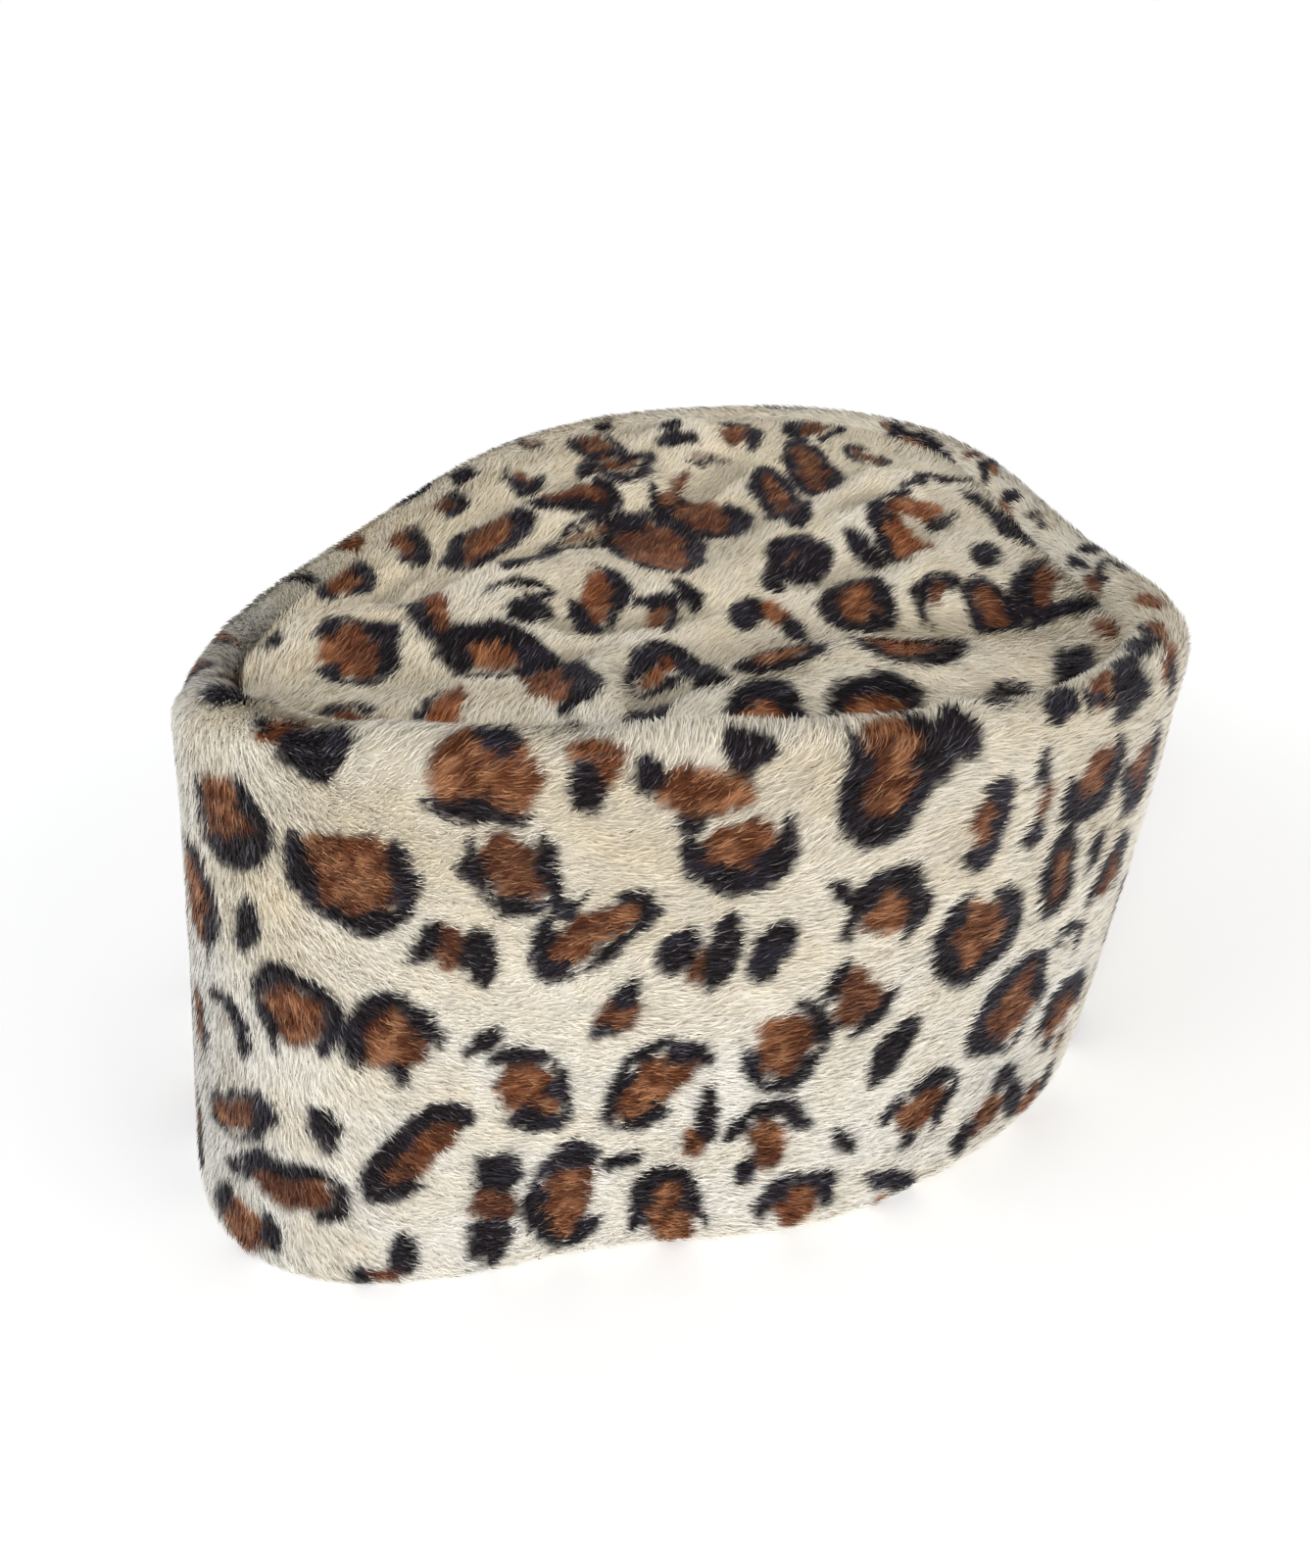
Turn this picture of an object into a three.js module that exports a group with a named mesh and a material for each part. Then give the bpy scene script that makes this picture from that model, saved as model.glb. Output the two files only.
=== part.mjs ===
// A soft round cap with a straight side band and a sunken, folded crown, sewn from
// short-pile fur cloth. Millimetres, +Z up, the rim of the band stands on z = 0.
// Two pieces: the side band, whose top edge rolls over into a soft ridge, and the
// crown, whose edge meets the inner side of that ridge along the seam.
import * as THREE from 'three';

// ---- driving sizes, mm -------------------------------------------------------
const PILE_CLOTH = 8;        // thickness of the fur cloth, backing and pile together
const RIDGE_RADIUS = 5.5;    // round of the ridge where the band turns inward
const RIM_ROUND = 2.5;       // round of the folded bottom edge
const SEAM_ALLOWANCE = 1.5;  // how far the ridge's inner side reaches below the crown
const SEAM_GAP = 0.4;        // clearance between the crown's edge and the band
const CROWN_MIDDLE = 91;     // height of the crown's cloth at its middle, without folds
const AROUND = 84;           // columns around the cap
const WALL_ROWS = 9;         // rows up the outer side of the wall
const INNER_ROWS = 6;        // rows down the inner side
const RIDGE_STEPS = 7;       // steps over the ridge
const CROWN_RINGS = 12;      // rings from the crown's middle to its seam

// ---- outline: one row for each harmonic around the cap ------------------------
// rim: radius of the bottom edge; top: radius of the wall under the ridge;
// high: height of the ridge; bulge: how far the wall swells half-way up;
// sink: how far the crown's seam lies below the top of the ridge.
const OUTLINE = [
  { n: 0, rimCos: 96.8, rimSin: 0.0, topCos: 98.1, topSin: 0.0, highCos: 101.4, highSin: 0.0, bulgeCos: 0.6, bulgeSin: 0.0, sinkCos: 5.6, sinkSin: 0.0 },
  { n: 1, rimCos: 4.0, rimSin: 8.1, topCos: 15.7, topSin: -3.1, highCos: -0.6, highSin: -0.1, bulgeCos: 0.9, bulgeSin: 0.7, sinkCos: -0.9, sinkSin: -3.0 },
  { n: 2, rimCos: 9.5, rimSin: -5.0, topCos: 6.2, topSin: 2.1, highCos: -0.6, highSin: 8.6, bulgeCos: -0.6, bulgeSin: -0.3, sinkCos: -0.8, sinkSin: 0.3 },
  { n: 3, rimCos: 2.3, rimSin: 2.3, topCos: 0.0, topSin: 3.6, highCos: -1.7, highSin: -0.7, bulgeCos: 0.0, bulgeSin: 0.0, sinkCos: 0.0, sinkSin: 0.0 },
  { n: 4, rimCos: 2.4, rimSin: 4.0, topCos: -0.8, topSin: 3.4, highCos: 0.9, highSin: 0.3, bulgeCos: 0.0, bulgeSin: 0.0, sinkCos: 0.0, sinkSin: 0.0 },
  { n: 5, rimCos: -0.2, rimSin: -1.3, topCos: -0.3, topSin: 0.3, highCos: -0.8, highSin: -0.1, bulgeCos: 0.0, bulgeSin: 0.0, sinkCos: 0.0, sinkSin: 0.0 },
  { n: 6, rimCos: 1.8, rimSin: 1.6, topCos: 0.1, topSin: 1.9, highCos: 0.7, highSin: 0.4, bulgeCos: 0.0, bulgeSin: 0.0, sinkCos: 0.0, sinkSin: 0.0 },
];

// ---- folds of the crown: a row for each bend of a fold ------------------------
// rise: height of the crest over the sunken cloth (a valley is negative);
// near: width of its slope on the front-left side; far: width on the other side.
const FOLDS = [
  { fold: 'front_crest', x: -8, y: -30, rise: 0.0, near: 20, far: 9 },
  { fold: 'front_crest', x: 2, y: -38, rise: 4.0, near: 20, far: 9 },
  { fold: 'front_crest', x: 22, y: -45, rise: 6.0, near: 20, far: 9 },
  { fold: 'front_crest', x: 44, y: -63, rise: 5.0, near: 20, far: 10 },
  { fold: 'front_crest', x: 68, y: -70, rise: 3.0, near: 16, far: 10 },
  { fold: 'left_crest', x: -66, y: 4, rise: 2.0, near: 11, far: 20 },
  { fold: 'left_crest', x: -48, y: -6, rise: 4.0, near: 11, far: 20 },
  { fold: 'left_crest', x: -14, y: -9, rise: 4.5, near: 12, far: 18 },
  { fold: 'left_crest', x: 8, y: 2, rise: 1.0, near: 14, far: 16 },
  { fold: 'puff', x: -30, y: -36, rise: 3.0, near: 9, far: 8 },
  { fold: 'puff', x: -17, y: -23, rise: 6.5, near: 10, far: 8 },
  { fold: 'puff', x: -4, y: -12, rise: 3.0, near: 10, far: 9 },
  { fold: 'front_valley', x: -72, y: -22, rise: -3.0, near: 9, far: 11 },
  { fold: 'front_valley', x: -40, y: -44, rise: -6.0, near: 9, far: 12 },
  { fold: 'front_valley', x: -10, y: -62, rise: -7.0, near: 10, far: 12 },
  { fold: 'front_valley', x: 24, y: -76, rise: -4.5, near: 9, far: 10 },
  { fold: 'middle_crest', x: 40, y: -4, rise: 0.0, near: 16, far: 10 },
  { fold: 'middle_crest', x: 60, y: 5, rise: 6.0, near: 16, far: 7 },
  { fold: 'middle_crest', x: 84, y: 7, rise: 6.0, near: 15, far: 7 },
  { fold: 'middle_crest', x: 96, y: 3, rise: 2.0, near: 12, far: 8 },
  { fold: 'right_crest', x: 90, y: 9, rise: 1.5, near: 8, far: 9 },
  { fold: 'right_crest', x: 104, y: 10, rise: 3.0, near: 8, far: 9 },
  { fold: 'rear_crest', x: 42, y: 48, rise: 0.0, near: 14, far: 9 },
  { fold: 'rear_crest', x: 68, y: 60, rise: 6.5, near: 15, far: 7 },
  { fold: 'rear_crest', x: 90, y: 64, rise: 4.0, near: 12, far: 9 },
  { fold: 'back_left_crest', x: -12, y: 42, rise: 0.5, near: 14, far: 10 },
  { fold: 'back_left_crest', x: 16, y: 47, rise: 5.5, near: 13, far: 7 },
  { fold: 'back_left_crest', x: 40, y: 45, rise: 4.5, near: 12, far: 7 },
];
// side of a fold that counts as near, as a plan direction
const NEAR_SIDE = { x: -0.58, y: -0.81 };

// ---- broad swells of the crown: a row for each soft rise or hollow -----------------
// x, y: plan place; rise: height over the sunken cloth (a hollow is negative).
const SWELL_WIDTH = 15;      // reach of every swell
const SWELLS = [
  { x: -74, y: 16, rise: -2.0 },
  { x: -64, y: -4, rise: -4.0 },
  { x: -54, y: 16, rise: 0.7 },
  { x: -64, y: 36, rise: 7.8 },
  { x: -44, y: -4, rise: -7.4 },
  { x: -34, y: 16, rise: 6.7 },
  { x: -44, y: 36, rise: 11.3 },
  { x: -14, y: -24, rise: -5.8 },
  { x: -24, y: -4, rise: 0.5 },
  { x: -14, y: 16, rise: 11.7 },
  { x: 6, y: -24, rise: -0.9 },
  { x: -4, y: -4, rise: -1.3 },
  { x: 6, y: 16, rise: 5.1 },
  { x: 26, y: -24, rise: -2.1 },
  { x: 16, y: -4, rise: 3.4 },
  { x: 36, y: -44, rise: -2.1 },
  { x: 36, y: -4, rise: 3.7 },
  { x: 66, y: -64, rise: -1.9 },
  { x: 56, y: -44, rise: -2.8 },
  { x: 66, y: -24, rise: 2.3 },
  { x: 56, y: -4, rise: 0.5 },
  { x: 76, y: -44, rise: 0.8 },
  { x: 86, y: -24, rise: 1.4 },
  { x: 96, y: -44, rise: 3.1 },
];

// ---- outline functions ---------------------------------------------------------
const around = (angle, cosKey, sinKey) =>
  OUTLINE.reduce((sum, row) => sum + row[cosKey] * Math.cos(row.n * angle) + row[sinKey] * Math.sin(row.n * angle), 0);
const rimRadius = (angle) => around(angle, 'rimCos', 'rimSin');
const topRadius = (angle) => around(angle, 'topCos', 'topSin');
const ridgeHeight = (angle) => around(angle, 'highCos', 'highSin');
const bulge = (angle) => around(angle, 'bulgeCos', 'bulgeSin');
const seamHeight = (angle) => ridgeHeight(angle) - around(angle, 'sinkCos', 'sinkSin');
const wallRadius = (angle, up) =>
  rimRadius(angle) * (1 - up) + topRadius(angle) * up + bulge(angle) * 4 * up * (1 - up);
const seamRadius = (angle) => topRadius(angle) - 2 * RIDGE_RADIUS - SEAM_GAP;

// ---- band: a closed section turned around the outline ---------------------------
function bandSection(angle) {
  const height = ridgeHeight(angle), wallTop = height - RIDGE_RADIUS;
  const lipBottom = seamHeight(angle) - PILE_CLOTH - SEAM_ALLOWANCE;
  const section = [];
  const rim = wallRadius(angle, 0), top = wallRadius(angle, 1);
  section.push([rim - RIM_ROUND, 0], [rim - 0.3 * RIM_ROUND, 0.3 * RIM_ROUND]);
  for (let i = 0; i <= WALL_ROWS; i++) {
    const z = RIM_ROUND + (wallTop - RIM_ROUND) * i / WALL_ROWS;
    section.push([wallRadius(angle, z / wallTop), z]);
  }
  for (let i = 1; i <= RIDGE_STEPS; i++) {
    const a = Math.PI * i / RIDGE_STEPS;
    section.push([top - RIDGE_RADIUS + RIDGE_RADIUS * Math.cos(a), wallTop + RIDGE_RADIUS * Math.sin(a)]);
  }
  section.push([top - 2 * RIDGE_RADIUS, lipBottom]);
  for (let i = 0; i <= INNER_ROWS; i++) {
    const z = lipBottom + (RIM_ROUND - lipBottom) * i / INNER_ROWS;
    section.push([wallRadius(angle, z / wallTop) - PILE_CLOTH, z]);
  }
  section.push([rim - PILE_CLOTH + RIM_ROUND, 0]);
  return section;
}

function bandGeometry() {
  const columns = [];
  for (let j = 0; j < AROUND; j++) columns.push(bandSection(2 * Math.PI * j / AROUND));
  const rows = columns[0].length, positions = [], index = [];
  columns.forEach((section, j) => {
    const angle = 2 * Math.PI * j / AROUND;
    for (const [r, z] of section) positions.push(r * Math.cos(angle), r * Math.sin(angle), z);
  });
  for (let j = 0; j < AROUND; j++) {
    const a = j * rows, b = ((j + 1) % AROUND) * rows;
    for (let i = 0; i < rows; i++) {
      const k = (i + 1) % rows;
      index.push(a + i, b + i, b + k, a + i, b + k, a + k);
    }
  }
  return solid(positions, index);
}

// ---- crown: sunken cloth with folds ----------------------------------------------
const foldNames = [...new Set(FOLDS.map((row) => row.fold))];
function foldRise(name, x, y) {
  const rows = FOLDS.filter((row) => row.fold === name);
  let nearest = Infinity, rise = 0;
  for (let i = 0; i + 1 < rows.length; i++) {
    const p = rows[i], q = rows[i + 1], dx = q.x - p.x, dy = q.y - p.y;
    const t = Math.min(1, Math.max(0, ((x - p.x) * dx + (y - p.y) * dy) / (dx * dx + dy * dy)));
    const ox = x - p.x - t * dx, oy = y - p.y - t * dy, distance = Math.hypot(ox, oy);
    if (distance >= nearest) continue;
    nearest = distance;
    const side = ox * NEAR_SIDE.x + oy * NEAR_SIDE.y;
    const near = p.near + (q.near - p.near) * t, far = p.far + (q.far - p.far) * t;
    const blend = 0.5 + 0.5 * Math.tanh(side / 4), width = near * blend + far * (1 - blend);
    rise = (p.rise + (q.rise - p.rise) * t) * Math.exp(-((distance / width) ** 2));
  }
  return rise;
}
const swellRise = (x, y) =>
  SWELLS.reduce((sum, row) => sum + row.rise * Math.exp(-((x - row.x) ** 2 + (y - row.y) ** 2) / SWELL_WIDTH ** 2), 0);
function crownHeight(angle, share) {
  const r = share * seamRadius(angle), x = r * Math.cos(angle), y = r * Math.sin(angle);
  const seam = seamHeight(angle), edge = share * share * (3 - 2 * share);
  const sunken = CROWN_MIDDLE + (seam - CROWN_MIDDLE) * edge;
  const fade = 1 - Math.max(0, (share - 0.8) / 0.2) ** 2;
  return sunken + fade * foldNames.reduce((sum, name) => sum + foldRise(name, x, y), swellRise(x, y));
}

function crownGeometry() {
  const positions = [], index = [];
  const push = (angle, share, down) => {
    const r = share * seamRadius(angle);
    positions.push(r * Math.cos(angle), r * Math.sin(angle), crownHeight(angle, share) - down);
  };
  const side = 1 + AROUND * CROWN_RINGS;
  for (const down of [0, PILE_CLOTH]) {
    push(0, 0, down);
    for (let k = 1; k <= CROWN_RINGS; k++)
      for (let j = 0; j < AROUND; j++) push(2 * Math.PI * j / AROUND, k / CROWN_RINGS, down);
  }
  const at = (under, ring, j) => under * side + (ring === 0 ? 0 : 1 + (ring - 1) * AROUND + (j % AROUND));
  for (let j = 0; j < AROUND; j++) {
    index.push(at(0, 0, 0), at(0, 1, j), at(0, 1, j + 1), at(1, 0, 0), at(1, 1, j + 1), at(1, 1, j));
    for (let k = 1; k < CROWN_RINGS; k++) {
      index.push(at(0, k, j), at(0, k + 1, j), at(0, k + 1, j + 1), at(0, k, j), at(0, k + 1, j + 1), at(0, k, j + 1));
      index.push(at(1, k, j), at(1, k + 1, j + 1), at(1, k + 1, j), at(1, k, j), at(1, k, j + 1), at(1, k + 1, j + 1));
    }
    const n = CROWN_RINGS;
    index.push(at(0, n, j), at(1, n, j), at(1, n, j + 1), at(0, n, j), at(1, n, j + 1), at(0, n, j + 1));
  }
  return solid(positions, index);
}

function solid(positions, index) {
  const geometry = new THREE.BufferGeometry();
  geometry.setAttribute('position', new THREE.Float32BufferAttribute(positions, 3));
  geometry.setIndex(index);
  geometry.computeVertexNormals();
  return geometry;
}

// ---- the cap ------------------------------------------------------------------------
const group = new THREE.Group();
const pieces = [
  { name: 'band', geometry: bandGeometry(), color: 0xd9cfb8 },
  { name: 'crown', geometry: crownGeometry(), color: 0xcbbf9f },
];
const box = new THREE.Box3();
for (const piece of pieces) {
  piece.geometry.computeBoundingBox();
  box.union(piece.geometry.boundingBox);
}
const middle = box.getCenter(new THREE.Vector3());
for (const piece of pieces) {
  const mesh = new THREE.Mesh(piece.geometry, new THREE.MeshStandardMaterial({ color: piece.color, roughness: 0.95, metalness: 0 }));
  mesh.name = piece.name;
  mesh.position.set(-middle.x, -middle.y, -box.min.z);
  group.add(mesh);
}
export default group;
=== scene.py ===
import math
import bpy
import numpy as np
from mathutils import Matrix, Vector


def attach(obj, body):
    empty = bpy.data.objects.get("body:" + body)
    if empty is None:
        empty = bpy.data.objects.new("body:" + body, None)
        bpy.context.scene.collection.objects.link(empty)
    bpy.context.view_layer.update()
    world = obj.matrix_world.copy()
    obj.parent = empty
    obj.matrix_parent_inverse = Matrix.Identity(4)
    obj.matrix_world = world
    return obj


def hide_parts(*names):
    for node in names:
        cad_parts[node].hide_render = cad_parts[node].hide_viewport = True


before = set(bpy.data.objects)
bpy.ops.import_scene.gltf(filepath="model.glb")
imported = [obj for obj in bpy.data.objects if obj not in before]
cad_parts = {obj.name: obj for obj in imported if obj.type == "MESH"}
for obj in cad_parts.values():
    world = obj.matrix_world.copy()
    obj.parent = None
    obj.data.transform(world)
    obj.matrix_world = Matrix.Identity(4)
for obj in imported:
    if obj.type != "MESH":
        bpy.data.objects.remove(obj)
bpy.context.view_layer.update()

# Millimetres in here until a mesh is made; metres on every mesh.
MM = 0.001
RIDGE = 5.5          # round of the ridge where the band turns inward
FUR = 5.0            # depth of the pile, from the backing to the outer form
GROUND = 4.1         # dense under-pile, over which the tips lie
CLOTH = 8.0          # pile and backing together
RIM_ROUND = 2.5
SEAM_ALLOWANCE = 1.5
SEAM_GAP = 0.4
CROWN_MIDDLE = 91.0

# ---- outline: a row for each harmonic around the cap ---------------------------
# n, rim cos, rim sin, top cos, top sin, high cos, high sin, bulge cos, bulge sin, sink cos, sink sin
OUTLINE = (
    (0, 96.8, 0.0, 98.1, 0.0, 101.4, 0.0, 0.6, 0.0, 5.6, 0.0),
    (1, 4.0, 8.1, 15.7, -3.1, -0.6, -0.1, 0.9, 0.7, -0.9, -3.0),
    (2, 9.5, -5.0, 6.2, 2.1, -0.6, 8.6, -0.6, -0.3, -0.8, 0.3),
    (3, 2.3, 2.3, 0.0, 3.6, -1.7, -0.7, 0.0, 0.0, 0.0, 0.0),
    (4, 2.4, 4.0, -0.8, 3.4, 0.9, 0.3, 0.0, 0.0, 0.0, 0.0),
    (5, -0.2, -1.3, -0.3, 0.3, -0.8, -0.1, 0.0, 0.0, 0.0, 0.0),
    (6, 1.8, 1.6, 0.1, 1.9, 0.7, 0.4, 0.0, 0.0, 0.0, 0.0),
)
# ---- folds of the crown: fold, x, y, rise, near width, far width ----------------
FOLDS = (
    ("front_crest", -8, -30, 0.0, 20, 9), ("front_crest", 2, -38, 4.0, 20, 9),
    ("front_crest", 22, -45, 6.0, 20, 9), ("front_crest", 44, -63, 5.0, 20, 10),
    ("front_crest", 68, -70, 3.0, 16, 10),
    ("left_crest", -66, 4, 2.0, 11, 20), ("left_crest", -48, -6, 4.0, 11, 20),
    ("left_crest", -14, -9, 4.5, 12, 18), ("left_crest", 8, 2, 1.0, 14, 16),
    ("puff", -30, -36, 3.0, 9, 8), ("puff", -17, -23, 6.5, 10, 8), ("puff", -4, -12, 3.0, 10, 9),
    ("front_valley", -72, -22, -3.0, 9, 11), ("front_valley", -40, -44, -6.0, 9, 12),
    ("front_valley", -10, -62, -7.0, 10, 12), ("front_valley", 24, -76, -4.5, 9, 10),
    ("middle_crest", 40, -4, 0.0, 16, 10), ("middle_crest", 60, 5, 6.0, 16, 7),
    ("middle_crest", 84, 7, 6.0, 15, 7), ("middle_crest", 96, 3, 2.0, 12, 8),
    ("right_crest", 90, 9, 1.5, 8, 9), ("right_crest", 104, 10, 3.0, 8, 9),
    ("rear_crest", 42, 48, 0.0, 14, 9), ("rear_crest", 68, 60, 6.5, 15, 7),
    ("rear_crest", 90, 64, 4.0, 12, 9),
    ("back_left_crest", -12, 42, 0.5, 14, 10), ("back_left_crest", 16, 47, 5.5, 13, 7),
    ("back_left_crest", 40, 45, 4.5, 12, 7),
)
NEAR_SIDE = (-0.58, -0.81)
# ---- broad swells of the crown: x, y, rise ----------------------------------------
SWELL_WIDTH = 15.0
SWELLS = (
    (-74, 16, -2.0), (-64, -4, -4.0), (-54, 16, 0.7), (-64, 36, 7.8), (-44, -4, -7.4), (-34, 16,
    6.7), (-44, 36, 11.3), (-14, -24, -5.8), (-24, -4, 0.5), (-14, 16, 11.7), (6, -24, -0.9), (-4,
    -4, -1.3), (6, 16, 5.1), (26, -24, -2.1), (16, -4, 3.4), (36, -44, -2.1), (36, -4, 3.7), (66,
    -64, -1.9), (56, -44, -2.8), (66, -24, 2.3), (56, -4, 0.5), (76, -44, 0.8), (86, -24, 1.4), (96,
    -44, 3.1),
)

# ---- narrow pleats pressed into the pile of the crown: pleat, x, y, rise, near width, far width
PLEATS = (
    ("front_left", -72, 14, 0.0, 3, 6), ("front_left", -64, -3, -3.2, 3, 6),
    ("front_left", -50, -26, -3.2, 3, 6), ("front_left", -36, -44, 0.0, 3, 6),
    ("puff_side", -5, -12, 0.0, 3, 5), ("puff_side", -12, -24, -3.6, 3, 5),
    ("puff_side", -22, -40, -3.2, 3, 5), ("puff_side", -28, -50, 0.0, 3, 5),
    ("below_m", -20, -36, 0.0, 3, 5), ("below_m", -8, -33, -2.6, 3, 5),
    ("below_m", 2, -42, -2.6, 3, 5), ("below_m", 14, -50, 0.0, 3, 5),
    ("below_spiky", -38, 0, 0.0, 3, 5), ("below_spiky", -28, -12, -2.9, 3, 5),
    ("below_spiky", -16, -12, -2.9, 3, 5), ("below_spiky", -6, -10, 0.0, 3, 5),
    ("below_centre", -22, 2, 0.0, 3, 5), ("below_centre", -6, -7, -2.6, 3, 5),
    ("below_centre", 10, -8, -2.6, 3, 5), ("below_centre", 22, -10, 0.0, 3, 5),
    ("rear_diagonal", 4, 56, 0.0, 3, 6), ("rear_diagonal", 22, 50, -3.2, 3, 6),
    ("rear_diagonal", 44, 58, -3.2, 3, 6), ("rear_diagonal", 66, 54, 0.0, 3, 6),
    ("middle_diagonal", 0, 32, 0.0, 3, 6), ("middle_diagonal", 18, 30, -3.2, 3, 6),
    ("middle_diagonal", 40, 33, -3.2, 3, 6), ("middle_diagonal", 66, 40, -2.6, 3, 6),
    ("middle_diagonal", 78, 42, 0.0, 3, 6),
    ("crest_side", 28, -8, 0.0, 3, 5), ("crest_side", 49, -14, -3.2, 3, 5),
    ("crest_side", 64, -15, -3.2, 3, 5), ("crest_side", 92, -10, 0.0, 3, 5),
    ("right_valley", 38, -31, 0.0, 3, 5), ("right_valley", 54, -38, -3.2, 3, 5),
    ("right_valley", 66, -45, -3.2, 3, 5), ("right_valley", 76, -60, 0.0, 3, 5),
    ("left_side", -56, 34, 0.0, 3, 5), ("left_side", -40, 36, -2.9, 3, 5),
    ("left_side", -22, 52, -2.9, 3, 5), ("left_side", -4, 56, 0.0, 3, 5),
    ("rear_right", 48, 2, 0.0, 3, 5), ("rear_right", 72, 4, -2.9, 3, 5), ("rear_right", 96, 6, 0.0, 3, 5),
)

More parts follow.
